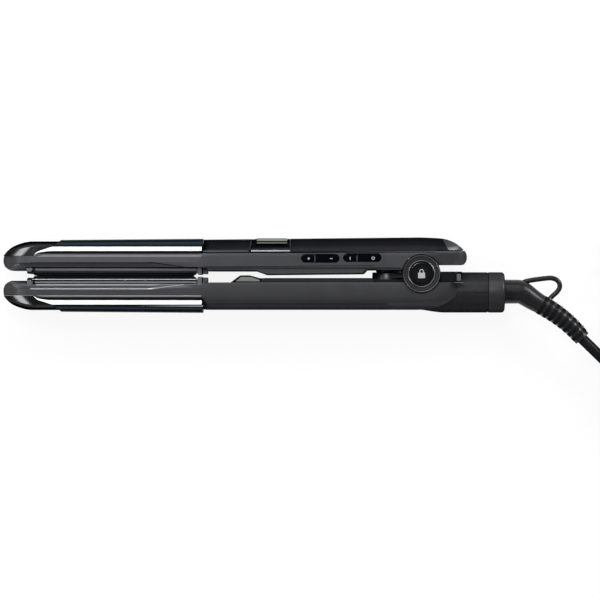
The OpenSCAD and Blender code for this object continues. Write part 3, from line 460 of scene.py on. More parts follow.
def tip_drop(x, u):
    """How far the side faces draw in near the tips."""
    near = max(0, TIP_ROUND - (x - TIP) - TIP_SLANT * max(0, u - CAP_LO))
    return TIP_FALL * near ** 2


def front_crown(x, u):
    """Fall of the side faces beside the plates: a step at the crease and a slight crown over it."""
    slope = FRONT_SLOPE * max(0, min(u, SLOPE_U[1]) - SLOPE_U[0])
    edge = FRONT_ROUND * max(0, u - ROUND_U) ** 2
    step = min(1, max(0, (CREASE_U - u) / CREASE_W))
    return slope + edge + CREASE_DEPTH * step * (1 - smoothstep(*CREASE_OUT, x))


def rear_crown(u, lower):
    """Fall of the handle's side faces towards its outer edge."""
    return sum(rate * max(0, u - start) ** power for start, rate, power in REAR_FALLS[lower])


def end_fall(x, u, lower, cover):
    """Further fall towards the arms' rear ends."""
    if lower and x > SWEEP_X:
        return LOWER_END[1] * max(0, x - LOWER_END[0]) ** 2
    if cover:
        return COVER_END[1] * max(0, x - COVER_END[0]) ** 2
    return HOLLOW_FALL * max(0, HOLLOW_U - u) * smoothstep(*HOLLOW_IN, x) * (1 - smoothstep(*HOLLOW_OUT, x))


def crown(x, u, lower, cover=False):
    """Depth by which the moulded side faces fall away at a place."""
    end = end_fall(x, u, lower, cover)
    if lower and x > SWEEP_X:
        u = LOWER_EDGE + SWEEP_H * math.hypot((x - SWEEP_X) / SWEEP_LEN, max(0, u - LOWER_EDGE) / SWEEP_H)
    w = smoothstep(*HANDLE_IN, x)
    return front_crown(x, u) * (1 - w) + rear_crown(u, lower) * w + end + tip_drop(x, u)


LEDGE_U = (12.7, 13.6)  # a ledge beside the plates is pressed together to a twentieth
LEDGE_PRESS = 0.05
BULGE = {  # the handle bulges out: by how much, and between which heights
    True: (0.35, 15, 19.4),
    False: (0.5, 15.5, 20),
}
BULGE_OUT = (-2, 12)  # x over which the upper handle's bulge ends


def bulged(x, u, lower):
    """The height of a point once the outer edges are brought to the photographed outline."""
    if x < HANDLE_X:
        inside = LEDGE_U[0] < u < LEDGE_U[1]
        return LEDGE_U[0] + LEDGE_PRESS * (u - LEDGE_U[0]) if inside else u
    if x == HANDLE_X:
        return u
    amount, start, full = BULGE[lower]
    fade = 1 if lower else 1 - smoothstep(*BULGE_OUT, x)
    return u + amount * smoothstep(start, full, u) * fade


CUT_U = ([4.5, 5.7, 6.95, CREASE_U, 8, 8.8, 9.6, 10.2, 10.6, 11, CAP_LO, ROUND_U]
         + [12.3 + 0.35 * i for i in range(26)])
CUT_X = ([TIP + v for v in (0.7, 1.5, 2.5, 3.5, 5, 6.5, 8, 9.5, 11, 12.5, 14, 16, 18)]
         + [-159, -156, -153] + [HANDLE_X + 2 * i for i in range(-2, 3)]
         + [SWEEP_X + 1.25 * i for i in range(24)])
CUT_NEAR = 1e-7


def crowned(bm, cover):
    """Cuts a mesh into strips along and across the arms and crowns its side faces."""
    for u in CUT_U:
        for side in (-1, 1):
            cut(bm, (0, CLOSE_Y + side * u * MM, 0), (0, 1, 0), dist=CUT_NEAR)
    for x in CUT_X:
        cut(bm, (x * MM, 0, 0), (1, 0, 0), dist=CUT_NEAR)
    for v in bm.verts:
        x = v.co.x / MM
        u = abs(v.co.y - CLOSE_Y) / MM
        lower = v.co.y < CLOSE_Y
        fall = crown(x, u, lower, cover) * MM
        v.co.z = MID_Z + (v.co.z - MID_Z) * (1 - fall / MID_Z)
        v.co.y = CLOSE_Y + math.copysign(bulged(x, u, lower) * MM, v.co.y - CLOSE_Y)
        v.co.x = nose_reach(x) * MM


def dressed(node, width=0.3, segments=2, crowning=False, warp=None):
    """A copy of a CAD node with rounded edges, which stands for it."""
    mesh = nodes[node].data.copy()
    bm = bmesh.new()
    bm.from_mesh(mesh)
    bmesh.ops.remove_doubles(bm, verts=bm.verts, dist=1e-6)
    bmesh.ops.dissolve_limit(bm, angle_limit=math.radians(1), verts=bm.verts, edges=bm.edges)
    if crowning:
        crowned(bm, node == "upper_handle_cover")
    if warp:
        for v in bm.verts:
            v.co = Vector(warp(*(v.co / MM))) * MM
    bm.to_mesh(mesh)
    bm.free()
    o = link("look_" + node, mesh, LOOKS[node])
    smooth(mesh, 30)
    bevel(o, width, segments)
    seat(o, BODY[node], stands_for=(node,))
    return o


# ---- Cord: one tube from the strain relief through the coil to the plug ----
CORD_D = 6.3
CORD_SIDES = 20
LEAD = [(93.4, -37.2, 17), (98.5, -42.1, 16.9), (104.1, -47.5, 16), (109.3, -52.4, 14.4),
        (114.3, -57.5, 12.4), (119.2, -62.5, 10.2), (125.4, -67.9, 7.6), (132.6, -72.2, 5.4),
        (140.2, -75.3, 4.3), (147.4, -76.7, 4.05), (153.4, -76.7, 4.05)]
TAIL = [(199.3, -30.8, 24.3), (199.3, -24.8, 24.3), (199.2, -18.8, 24), (198.2, -10.6, 22.2),
        (194.9, -2.6, 19), (189.6, 4.3, 15.2), (182.8, 9.6, 11.6), (174.8, 12.9, 8.7),
        (166.3, 14, 7.2), (160.3, 14, 7.05)]
COIL_C = (160, -37.4)
COIL_OUT = 39.3  # radius of the outermost turn
COIL_FLOOR = 0.9  # gap under the lowest layer
TURNS = 8.25
TURN_POINTS = 48
LAYERS = 4
PITCH = CORD_D + 0.45
PER_LAYER = TURNS / LAYERS
CLIMB = 0.5  # turns over which the cord climbs to its next layer


def coil_at(t):
    """The coil's place after t turns: layer over layer, winding in and out by turns."""
    k = min(int(t / PER_LAYER + 1e-9), LAYERS - 1)
    f = t - k * PER_LAYER
    r = COIL_OUT - PITCH * (f if k % 2 == 0 else PER_LAYER - f)
    climbs = sum(ease((t - j * PER_LAYER + CLIMB / 2) / CLIMB) for j in range(1, LAYERS))
    a = 1.5 * math.pi + 2 * math.pi * t
    return COIL_C[0] + r * math.cos(a), COIL_C[1] + r * math.sin(a), COIL_FLOOR + CORD_D / 2 + PITCH * climbs


coil = [Vector(coil_at(i / TURN_POINTS)) for i in range(int(TURN_POINTS * TURNS) + 1)]
route = [p * MM for p in spline(LEAD, 3)[:-1] + coil + spline(TAIL, 3)[1:]]
cord = tube("cord", route, CORD_D * MM / 2, CORD_SIDES, CORD)
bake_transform(cord)
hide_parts("cord_lead", "cord_coil", "cord_tail")

plug = dressed("plug_body", 1.2, 4)
pins = dressed("plug_pins", 0.2)
tie = dressed("cord_tie", 0.25)

# ---- Bodies that keep their CAD form: crowned ones and plain ones ----
CROWNED = ("upper_handle_cover", "display_bezel", "lower_arm_shell", "upper_arm_frame", "key_bezel",
           "lower_inner_cover")
PLAIN = ("key_plus", "key_minus", "key_on", "key_off", "lower_end_blocks", "upper_end_blocks")
bodies = {node: dressed(node, crowning=node in CROWNED) for node in CROWNED + PLAIN}

# ---- Tail of the handle cover, with its highlight painted in a lighter material ----
TAIL_LINE = (0.0133, 0.018, 0)  # m, a point on the slanted line in front of it
TAIL_NORMAL = (1, 0.5, 0)
SKIN = 0.05  # how far the skin lies over the cover
SKIN_WIDER = 1.005


def cover_tail_highlight(cover):
    """The handle cover's rounded tail: a thin skin over the cover in a lighter and smoother copy of its
    material. It is a painted highlight, and the right lamp adds to it.
    """
    bm = bmesh.new()
    bm.from_mesh(cover.data)
    cut(bm, TAIL_LINE, TAIL_NORMAL, clear_inner=True)
    for v in bm.verts:
        v.co.x += SKIN * MM
        v.co.y += SKIN * MM
        v.co.z = MID_Z + (v.co.z - MID_Z) * SKIN_WIDER
    o = mesh_object("cover_tail_highlight", bm, TAIL_COVER_HIGHLIGHT, 30)
    seat(o, "upper_arm")


cover_tail_highlight(bodies["upper_handle_cover"])

# ---- Tools for pieces on the arms, where a depth is how far a place lies under the side face ----
FACES = (("_front", False), ("_back", True))


def arm_name(lower):
    return "lower" if lower else "upper"


def arm_y(u, lower):
    return CLOSE_Y / MM + (-u if lower else u)


def face_z(depth, back):
    return depth if back else BODY_W - depth


def arm_prism(name, outline, z0, z1, material, lower, width):
    """A side outline of (x, u) across part of the width, with rounded edges."""
    bm = bmesh.new()
    rings = []
    for z in (z0, z1):
        rings.append([bm.verts.new((x * MM, arm_y(u, lower) * MM, z * MM)) for x, u in outline])
    close_ends(bm, rings)
    bridge(bm, rings)
    o = mesh_object(name, bm, material)
    bevel(o, width, 2)
    return o


def across(name, outline, inset, material, lower, width=0.15):
    """A side outline across the whole width but for an inset on both side faces."""
    return arm_prism(name, outline, inset, BODY_W - inset, material, lower, width)


def both_faces(name, outline, depths, material, lower, slot, stands_for=(), width=0.15):
    """The same flat piece on the front and on the back face of an arm, between two depths."""
    for suffix, back in FACES:
        z0, z1 = sorted(face_z(depth, back) for depth in depths)
        o = arm_prism(name + suffix, outline, z0, z1, material, lower, width)
        seat(o, arm_name(lower) + "_arm", stands_for)


def long_rail(name, section, material, lower, stands_for=()):
    """A section of (u, depth) drawn along the plates, on both side faces."""
    for suffix, back in FACES:
        bm = bmesh.new()
        rings = []
        for x in (HOLDER_FRONT, HOLDER_REAR):
            places = [Vector((x, arm_y(u, lower), face_z(depth, back))) for u, depth in section]
            rings.append([bm.verts.new(p * MM) for p in places])
        bridge(bm, rings)
        close_ends(bm, rings)
        o = mesh_object(name + suffix, bm, material, 60)
        bevel(o, 0.08, 2, 62)
        seat(o, arm_name(lower) + "_arm", stands_for)


RIBBON_PROUD = 0.1
RIBBON_DEEP = 1.2
RIBBON_STEP = 2


def ribbon_row(x, lo, hi, lower, back):
    """The four corners of a ribbon's section at one x."""
    row = []
    for u, deep_by in ((lo, 0), (hi, 0), (hi, RIBBON_DEEP), (lo, RIBBON_DEEP)):
        depth = crown(x, u, lower) - RIBBON_PROUD + deep_by
        row.append(Vector((nose_reach(x), arm_y(u, lower), face_z(depth, back))) * MM)
    return row


def face_ribbon(name, spine, material, lower):
    """A flat line that follows the crown of an arm's side faces. Its spine holds x and two heights."""
    for suffix, back in FACES:
        bm = bmesh.new()
        rings = []
        for start, end in zip(spine, spine[1:]):
            steps = max(1, round((end[0] - start[0]) / RIBBON_STEP))
            for i in range(steps + 1):
                x, lo, hi = [a + (b - a) * i / steps for a, b in zip(start, end)]
                rings.append([bm.verts.new(p) for p in ribbon_row(x, lo, hi, lower, back)])
        bridge(bm, rings)
        close_ends(bm, rings)
        bmesh.ops.remove_doubles(bm, verts=bm.verts, dist=1e-6)
        o = mesh_object(name + suffix, bm, material, 50)
        seat(o, arm_name(lower) + "_arm")


def crown_line(name, start, end, proud, radius, material):
    """A fine line that follows the crown of the upper arm's side faces between two (x, u) places."""
    for suffix, back in FACES:
        path = []
        for i in range(13):
            x, u = [a + (b - a) * i / 12 for a, b in zip(start, end)]
            path.append(Vector((x, arm_y(u, False), face_z(crown(x, u, False) - proud, back))) * MM)
        o = tube(name + suffix, path, radius * MM, 12, material)
        seat(o, "upper_arm")


# ---- Tip caps: (distance from the tip, u) along their top and along their rear edge ----
CAP_TOP = [(0.6, 11.5), (1.6, 12.9), (2.7, 14.4), (4.2, 15.9), (6, 17.1), (8.4, 18.3), (11.4, 19.3),
           (14.6, 19.8), (31.5, 19.8)]
CAP_REAR = [(16.7, 11.5), (17.6, 12.6), (19, 13.9), (21.6, 14.8), (25.6, 16.1), (28.2, 17.6), (30, 18.9),
            (31.2, 19.9)]
CAP_START = CAP_TOP[0][0]
CAP_HI = 19.8
CAP_BASE = CAP_LO + 0.1
CAP_BAND = 3.0  # height of the steep band between the flat face and the top
CAP_FACE_FALL = 0.12
BAND_SHARE = 0.6  # f runs from 1 by this much up the band
CAP_ALONG = [0, 0.02, 0.05, 0.09] + [0.14 + 0.86 * i / 26 for i in range(27)]
CAP_UP = [i / 12 for i in range(12)] + [1 + BAND_SHARE * i / 8 for i in range(9)] + [1.75, 1.9, 2]


def cap_section(t, f):
    """A place on the cap, t from its front to its rear edge and f from its base to its top's middle."""
    face = min(1, f)
    q = max(0, min(BAND_SHARE, f - 1)) / BAND_SHARE
    u_mid = CAP_BASE + face * (CAP_HI - CAP_BAND - CAP_LO) + q * CAP_BAND
    s = CAP_START + t * (along_points(CAP_REAR, min(u_mid, CAP_HI - 0.1), 1) - CAP_START)
    top = along_points(CAP_TOP, s)
    steep = min(CAP_BAND, max(0.05, (top - CAP_LO) * 0.4))
    u = CAP_BASE + face * (top - steep - CAP_BASE)
    z = MID - tip_drop(TIP + s, u) - CAP_FACE_FALL * face - steep * (1.1 * q + 0.6 * q * q)
    over_top = min(1, max(0, (f - 1 - BAND_SHARE) / (1 - BAND_SHARE)))
    return s, u + steep * (q - 0.12 * q * q) * 1.136, z * (1 - over_top)


def tip_cap(lower):
    """The gloss cap over an arm's tip, whose steep band catches the light."""
    bm = bmesh.new()
    rings = []
    for t in CAP_ALONG:
        half = []
        for f in CAP_UP:
            s, u, z = cap_section(t, f)
            half.append((nose_reach(TIP + s), arm_y(u, lower), z))
        ring = [(x, y, MID + z) for x, y, z in half] + [(x, y, MID - z) for x, y, z in half[-2::-1]]
        rings.append([bm.verts.new(Vector(p) * MM) for p in ring])
    bridge(bm, rings)
    close_ends(bm, rings, 1)
    bmesh.ops.remove_doubles(bm, verts=bm.verts, dist=2e-5)
    node = arm_name(lower) + "_tip_cap"
    o = mesh_object("look_" + node, bm, CAP, 40)
    seat(o, BODY[node], stands_for=(node,))


# ---- Front ends, alike on both arms: caps, rails, painted highlight lines, gloss covers and plate holders ----
STRIP_LO = 14.2
STRIP_HI = 16.65
RAIL_END = HANDLE_X - 0.4
RAIL = [(TIP + 16.8, 11.5), (TIP + 17.6, 12.7), (TIP + 19.2, 14.1), (TIP + 22.3, 15.0), (TIP + 25, 15.9),
        (TIP + 26.9, 16.5), (TIP + 27.6, STRIP_HI), (RAIL_END, STRIP_HI), (RAIL_END, STRIP_LO),
        (TIP + 25.6, STRIP_LO - 0.1), (TIP + 20.6, 13.4), (TIP + 18.9, 13.0), (TIP + 17.6, 12.1)]
CORE_LO = 12.5
CORE_HI = 17.4
CORE_END = HANDLE_X - 0.5
RAIL_CORE = [(TIP + 19, CORE_LO), (CORE_END, CORE_LO), (CORE_END, CORE_HI), (TIP + 29, CORE_HI),
             (TIP + 21, 14.3)]
RAIL_CORE_INSET = 0.75
EDGE_U = {False: (10.65, 11.85), True: (11.4, 12.05)}  # heights of the painted highlight line, finer on the lower arm
EDGE_END = HANDLE_X - 0.6
COVER_START = TIP + 30  # the gloss covers rise from here to the handle
COVER_LEN = 84
COVER_RISE = (0.15, 0.65)
COVER_SIDE_Y = 16
HOLDER_FRONT = -224.1
HOLDER_REAR = -129.3
HOLDER_CORE = box(HOLDER_FRONT + 0.2, 2.3, HOLDER_REAR - 0.2, 6.1)


def edge_line(lower):
    """A painted highlight along the side body's edge under the rail, lighter on the lower arm than on the
    upper.
    """
    lo, hi = EDGE_U[lower]
    look = LINE if lower else DIM_HIGHLIGHT_GREY
    outline = [(TIP + 17.5, lo), (TIP + 23, hi), (EDGE_END, hi), (EDGE_END, lo), (TIP + 24, lo)]
    both_faces(arm_name(lower) + "_edge_line", outline, (1.4, 0.1), look, lower, "grey_trim")


def risen(x, y, z):
    """A gloss cover's point once its outer face rises towards the handle."""
    rise = COVER_RISE[0] + COVER_RISE[1] * (x - COVER_START) / COVER_LEN
    return x, y + math.copysign(rise, y) * max(0, min(1, (abs(y) - COVER_SIDE_Y) / 3)), z


def front_end(lower):
    arm = arm_name(lower)
    tip_cap(lower)
    both_faces(arm + "_rail", RAIL, (1, 0.1), CHROME, lower, "chrome", (arm + "_trim",))
    # A black core behind the rail. Where it shows between the body and the rail, it paints the shade in that
    # groove.
    core = across(arm + "_rail_core", RAIL_CORE, RAIL_CORE_INSET, BLACK, lower)
    seat(core, arm + "_arm")
    edge_line(lower)
    dressed(arm + "_front_cover", 0.4, 3, warp=risen)
    both_faces(arm + "_holder_core", HOLDER_CORE, (6.5, 3), DARK, lower, "dark_inner")


front_end(False)
front_end(True)

UPPER_HOLDER = [(1.45, 5.1), (1.7, 4.5), (2.3, 3.5), (2.9, 2.8), (3.4, 2.5), (4.05, 2.4), (4.2, 2.7),
                (4.2, 5.6), (1.45, 5.6)]
LOWER_HOLDER = [(3.2, 2.9), (3.4, 2.55), (4.1, 2.45), (4.3, 2.8), (4.3, 5.6), (3.2, 5.6)]
PLATE_RIM = [(1.85, 2.9), (1.95, 2.5), (2.25, 2.4), (2.35, 2.7), (2.35, 5.6), (1.85, 5.6)]
# The upper holder has a lighter grey than the lower one: painted light.
long_rail("upper_holder", UPPER_HOLDER, HOLDER_LIT_GREY, False, ("upper_plate_carrier",))
long_rail("lower_holder", LOWER_HOLDER, GREY, True, ("lower_plate_carrier",))
# A steel rim on the lower arm only. It is partly the plate's real metal edge and partly a painted highlight
# along it.
long_rail("lower_plate_rim_highlight", PLATE_RIM, STEEL, True)

# ---- Nubs at the plates' front ends, and lines of painted shade and highlight along the creases and the lower body's edge ----
NUB = {False: [(-227.8, 4.35), (-226.9, 2.1), (-224.5, 2.1), (-223.8, 4.35)],
       True: [(-227.6, 5.6), (-227.0, 2.4), (-224.3, 2.4), (-224.0, 5.6)]}
NUB_EDGE = {False: [(-227.4, 3.2), (-226.9, 1.05), (-224.4, 1.05), (-223.8, 3.2)],
            True: [(-227.3, 3), (-226.8, 1.35), (-224.4, 1.35), (-224.1, 3)]}
NUB_GAP = box(-223.5, 2.1, -222.5, 4.5)
WEDGE = [(-223.9, 1.3), (-222.9, 0.1), (-221.2, 0.1), (-221.2, 1.3)]
CREASE = [(TIP + 15, 7.15, 7.8), (HANDLE_X - 29, 7.15, 7.8), (HANDLE_X - 10.6, 4.85, 5.25)]
BODY_EDGE = [(-222, 4.8), (-222, 5.8), (HANDLE_X, 5.8), (HANDLE_X, 4.8)]


def nub(lower):
    """The grey nub before the plate, with its dark edge, the gap behind it and a wedge to the plate."""
    arm = arm_name(lower)
    both_faces(arm + "_nub", NUB[lower], (7, 1.7), GREY, lower, "grey_trim", width=0.5)
    both_faces(arm + "_nub_edge", NUB_EDGE[lower], (7, 2), BLACK, lower, "dark_inner", width=0.4)
    both_faces(arm + "_nub_gap", NUB_GAP, (7, 2.1), BLACK, lower, "dark_inner")
    both_faces(arm + "_wedge", WEDGE, (16, 5), BLACK, lower, "dark_inner")


nub(False)
nub(True)
# The same crease is a painted shade line on the upper arm and a painted highlight line on the lower arm.
face_ribbon("upper_crease_painted_shade", CREASE, DARK, False)
face_ribbon("lower_crease_painted_highlight", CREASE, LINE, True)
# A painted highlight along the lower body's up-facing edge.
both_faces("lower_body_edge_highlight", BODY_EDGE, (2.2, 0.7), LINE, True, "grey_trim")

# ---- Hinge ring and lock button: (radius, distance under the top) profiles round the hinge axis ----
RING_TOP = BODY_W + 1.2
BUTTON_TOP = RING_TOP - 0.8
RING_R = 11
RING_BAND = [(7.9, 3), (7.9, 0.6), (10, 0.5), (10.6, 0.5), (10.85, 0.9), (RING_R, 1.6), (RING_R, 3)]
INNER_BEAD = [(7.1, 3), (7.1, 0.45), (7.25, 0.1), (7.5, 0), (7.8, 0.12), (8.05, 0.5), (8.05, 3)]
OUTER_BEAD = [(10.0, 1), (10.0, 0.4), (10.15, 0.08), (10.35, 0), (10.55, 0.15), (10.7, 0.5), (10.7, 1)]
BUTTON = [(0, 3.1), (6.7, 3.1), (6.9, 2.9), (6.9, 0.35), (6.55, 0.05), (6.3, 0), (5.85, 0), (5.7, 0.2),
          (5.5, 0.2), (5.35, 0), (0, 0)]


def hinge_lathe(name, profile, top, material):
    """A piece turned round the hinge axis, from distances under its top."""
    return lathe(name, [(r, top - under) for r, under in profile], (0, 0, 0), (0, 0, 1), material)


ring_band = hinge_lathe("ring_band", RING_BAND, RING_TOP, RING)
seat(ring_band, "lower_arm", ("hinge_bezel",))
# The beads are lighter than the band: their highlights are partly painted.
for name, profile in (("ring_inner_bead", INNER_BEAD), ("ring_outer_bead", OUTER_BEAD)):
    bead = hinge_lathe(name, profile, RING_TOP, BEAD)
    seat(bead, "lower_arm", ("hinge_bezel",))
button = hinge_lathe("look_lock_button", BUTTON, BUTTON_TOP, CAP)
seat(button, "lock_button", stands_for=("lock_button",))

# ---- Signs on the lock button and on the keys, in x and y ----
SIGN_SUNK = 0.05
SIGN_PROUD = 0.03
PAD_Y = -0.9  # the padlock's middle
PAD_HALF = 1.7  # to the middle of its corners
PAD_BOTTOM = PAD_Y - 1.3
PAD_TOP = PAD_Y + 1.2
SHACKLE_Y = PAD_Y + 2.2
KEY_TOP = BODY_W + 0.2


def sign(name, outlines, z, body):
    """Flat printed shapes, a hair over the face that carries them."""
    bm = bmesh.new()
    for outline in outlines:
        low = [bm.verts.new((x * MM, y * MM, (z - SIGN_SUNK) * MM)) for x, y in outline]
        high = [bm.verts.new((x * MM, y * MM, (z + SIGN_PROUD) * MM)) for x, y in outline]
        bm.faces.new(high)
        bridge(bm, (low, high))
    seat(mesh_object(name, bm, WHITE), body)


def half_ring(cx, cy, outer, inner, start):
    """Half a flat ring from an angle on."""
    end = start + 180
    return arc(cx, cy, outer, start, end, 10) + arc(cx, cy, inner, end, start, 10)


PADLOCK = [
    arc(-PAD_HALF, PAD_BOTTOM, 0.35, 180, 270, 3) + arc(PAD_HALF, PAD_BOTTOM, 0.35, 270, 360, 3)
    + arc(PAD_HALF, PAD_TOP, 0.3, 0, 90, 3) + arc(-PAD_HALF, PAD_TOP, 0.3, 90, 180, 3),
    half_ring(0, SHACKLE_Y, 1.35, 0.8, 0),
    bar(-1.075, PAD_Y + 1.85, 0.55, 0.8),
    bar(1.075, PAD_Y + 1.85, 0.55, 0.8),
]
PLUS = (-64.9, 8.75)
MINUS = (-51.9, 8.75)
ON = (-41.1, 8.9)
OFF = (-27.8, 8.9)
KEY_SIGNS = {
    "plus": [bar(*PLUS, 1.5, 0.4)] + [bar(PLUS[0], PLUS[1] + up, 0.4, 0.6) for up in (0.5, -0.5)],
    "minus": [bar(*MINUS, 1.6, 0.4)],
    "on": [bar(*ON, 0.45, 1.7)],
    "off": [half_ring(*OFF, 0.95, 0.55, 0), half_ring(*OFF, 0.95, 0.55, 180)],
}
sign("padlock_sign", PADLOCK, BUTTON_TOP, "lock_button")
for name, outlines in KEY_SIGNS.items():
    sign(name + "_sign", outlines, KEY_TOP, "key_" + name)

# ---- Tail: two housing halves, collar, hinge stop and ledge, with painted highlights on the stop's end and the ledge ----
SWIVEL_Y = -10.7
TAIL_START = -4
TAIL_R = 11.7
TAIL_R_START = 9.8
TAIL_SWELL = 18  # length over which it swells to its full radius
TAIL_END = 39
HANDLE_END = 23.8
TAIL_WRAP = 28  # degrees by which the lower half wraps up inside the handle's end
WRAP_X = 15
TAIL_STEPS = 48
JOIN_GAP = 0.08
TAIL_X = ([TAIL_START + i for i in range(18)] + [WRAP_X, 17, 19, 21, 22.5, HANDLE_END, HANDLE_END + 0.05]
          + [26, 30, 34, TAIL_END - 0.9, TAIL_END - 0.3, TAIL_END - 0.05])
TAIL_ROUNDING = {TAIL_END - 0.3: 0.08, TAIL_END - 0.05: 0.35}  # how far its rear edge draws in
COLLAR_WIDER = 1.028
COLLAR_BACK = 0.5
STOP_X = 17.5  # the hinge stop is longer past here
STOP_LONGER = 1.22


def tail_radius(x):
    swelled = TAIL_R_START + (TAIL_R - TAIL_R_START) * ease((x - TAIL_START) / TAIL_SWELL)
    return swelled - TAIL_ROUNDING.get(x, 0)


def tail_row(x, lower):
    """Points round half of the housing at one x."""
    r = tail_radius(x)
    wrap = TAIL_WRAP if lower and WRAP_X < x <= HANDLE_END else 0
    start, end = (180 - wrap, 360 + wrap) if lower else (0, 180)
    row = []
    for i in range(TAIL_STEPS + 1):
        a = math.radians(start + (end - start) * i / TAIL_STEPS)
        y = r * math.sin(a)
        if i in (0, TAIL_STEPS):
            y += -JOIN_GAP if lower else JOIN_GAP
        row.append((x * MM, (SWIVEL_Y + y) * MM, (MID + r * math.cos(a)) * MM))
    return row


def tail_half(node, lower):
    """Half of the round tail housing. The lower one runs on under the handle's rounded end."""
    bm = bmesh.new()
    stations = [x for x in TAIL_X if lower or x >= HANDLE_END]
    rings = [[bm.verts.new(p) for p in tail_row(x, lower)] for x in stations]
    bridge(bm, rings)
    close_ends(bm, rings, 1)
    seat(mesh_object("look_" + node, bm, HOUSING), "lower_arm", stands_for=(node,))


def wider_collar(x, y, z):
    return x + COLLAR_BACK, SWIVEL_Y + (y - SWIVEL_Y) * COLLAR_WIDER, MID + (z - MID) * COLLAR_WIDER


def longer_stop(x, y, z):
    return STOP_X + (x - STOP_X) * (STOP_LONGER if x > STOP_X else 1), y, z


tail_half("tail_housing_top", False)
tail_half("tail_housing_bottom", True)
dressed("swivel_collar", 0.3, 3, warp=wider_collar)
stop = dressed("hinge_stop", 0.7, 4, warp=longer_stop)
stop.data.materials[0] = BLACK_GLOSS
STOP_END = [(20.4, -1.0), (22.7, -1.0), (23.1, 3.1), (20.4, 3.1)]
TAIL_LEDGE = [(18.4, 3.7), (19.4, 4.25), (24.4, 4.25), (24.4, 3.9), (23.6, 3.7)]
# Painted highlights: grey strips on the stop's rounded end and along the ledge.
both_faces("stop_end_highlight", STOP_END, (6, 3.7), GREY, True, "grey_trim", width=0.35)
both_faces("tail_ledge_highlight", TAIL_LEDGE, (4, 0.1), GREY, True, "grey_trim", width=0.2)

# ---- Opening spring: its skirt on the upper arm and its cup on the lower one ----
SPRING_X = -19.3
SPRING_SKIRT = [(0, 2.5), (5.4, 2.5), (8.2, 1.1), (8.2, 0.95), (5.2, 1.9), (0, 1.9)]
SPRING_CUP = [(0, -5), (8.7, -5), (8.7, 0.3), (8.55, 0.7), (8.2, 0.88), (7.6, 0.88), (7.4, 0.6), (7.4, -2),
              (0, -2)]
skirt = lathe("spring_skirt", SPRING_SKIRT, (SPRING_X, CLOSE_Y / MM, MID), (0, 1, 0), BLACK)
seat(skirt, "upper_arm")
cup = lathe("spring_cup", SPRING_CUP, (SPRING_X, 0, MID), (0, 1, 0), CUP)
seat(cup, "lower_arm")
dressed("upper_inner_cover", 0.8, 4)

# ---- Handle: seams, lines and lips as (x, u) outlines between two depths; the light lines are painted highlights, and the dark lips, lip edges and underside line are painted shade ----
PROUD = -0.03
UPPER_SEAM = slanted(-125, 4.85, -27, 5.4, 0.5, 0.5)
COVER_SEAM = slanted(-125.6, 12.8, 8, 13.3, 0.35, 0.35)
COVER_HIGHLIGHT_FRONT = slanted(-125.6, 13.75, -99.6, 13.85, 0.55, 0.55)
COVER_HIGHLIGHT = slanted(-75.4, 13.85, 8, 14.1, 0.55, 0.4)
UPPER_LIP_SHADE_EDGE = [(-123, 2.6), (-95, 2.55), (-89, 0.4), (-33.5, 0.95), (-31.2, 3.15), (-25.7, 3.2),
                  (-25.7, 3.8), (-31.6, 3.8), (-34, 1.6), (-89.1, 1.05), (-95.2, 3.2), (-123, 3.25)]
LOWER_SHADE_FILL = [(-14, 2.5), (-11.2, 2.5), (-10.6, 5.4), (-14, 5.4)]
HANDLE_STRIPS = (
    ("upper_seam", UPPER_SEAM, (2, PROUD), BLACK, False, "dark_inner"),
    ("cover_seam", COVER_SEAM, (2, PROUD), BLACK, False, "dark_inner"),
    ("cover_line_front", COVER_HIGHLIGHT_FRONT, (2, -0.02), HANDLE_HIGHLIGHT, False, "graphite_shell"),
    ("cover_line", COVER_HIGHLIGHT, (2, 0), LIP, False, "graphite_shell"),
    # A painted highlight along the lower handle's top edge.
    ("lower_handle_edge", box(-123, 3.9, -12, 4.6), (2, PROUD), HANDLE_HIGHLIGHT, True, "graphite_shell", (), 0.3),
    # Painted shade: the lower lip in a darker grey, with a black line along its top edge.
    ("lower_lip", box(-92, 1.9, -27.5, 3.95), (3.5, 1.1), LIP, True, "dark_inner", (), 0.35),
    ("lower_lip_edge", box(-90.6, 1.35, -27.5, 1.95), (5, 1), BLACK, True, "dark_inner"),
    # Painted shade: a black strip along the lower handle's underside edge.
    ("underside_line", box(-124, 18.95, -20, 19.6), (4.8, 3.4), BLACK, True, "dark_inner"),
    # Painted shade: a black line under the upper lip's down-facing edge.
    ("upper_lip_edge", UPPER_LIP_SHADE_EDGE, (8, 0.8), BLACK, False, "dark_inner"),
    ("cup_side", box(-17, -2.05, -10.9, 1.4), (14, 8.35), CUP_SHADE, True, "graphite_shell"),
)
for strip in HANDLE_STRIPS:
    both_faces(*strip)

# ---- Bump stop behind the plates, and black fills between spring and hinge ring that paint the shade there ----
BUMP_FORM = [(-109.8, 3.8), (-104.8, 0.1), (-103.8, -0.2), (-99.2, -0.25), (-97.6, 0.1), (-93.0, 1.4),
             (-89, 1.5), (-89, 3.8)]
BUMP_FACE = [(-107, 3.35), (-103.9, 0.75), (-98.5, 0.7), (-93.8, 2.2), (-92.4, 3.35)]
BUMP_INSET = 2.4
bump = across("bump_body", BUMP_FORM, BUMP_INSET, BLACK, True, 0.3)
seat(bump, "lower_arm", stands_for=("lower_bump_stop",))
both_faces("bump_face", BUMP_FACE, (4, BUMP_INSET - 0.2), BUMP, True, "grey_trim")
# Black fills in the gap beside the hinge ring: painted shade.
both_faces("hinge_shade_fill", box(-16.5, 2.25, -11.2, 3.9), (14, 3), BLACK, False, "dark_inner")
both_faces("lower_shade_fill", LOWER_SHADE_FILL, (14, 3), BLACK, True, "dark_inner")

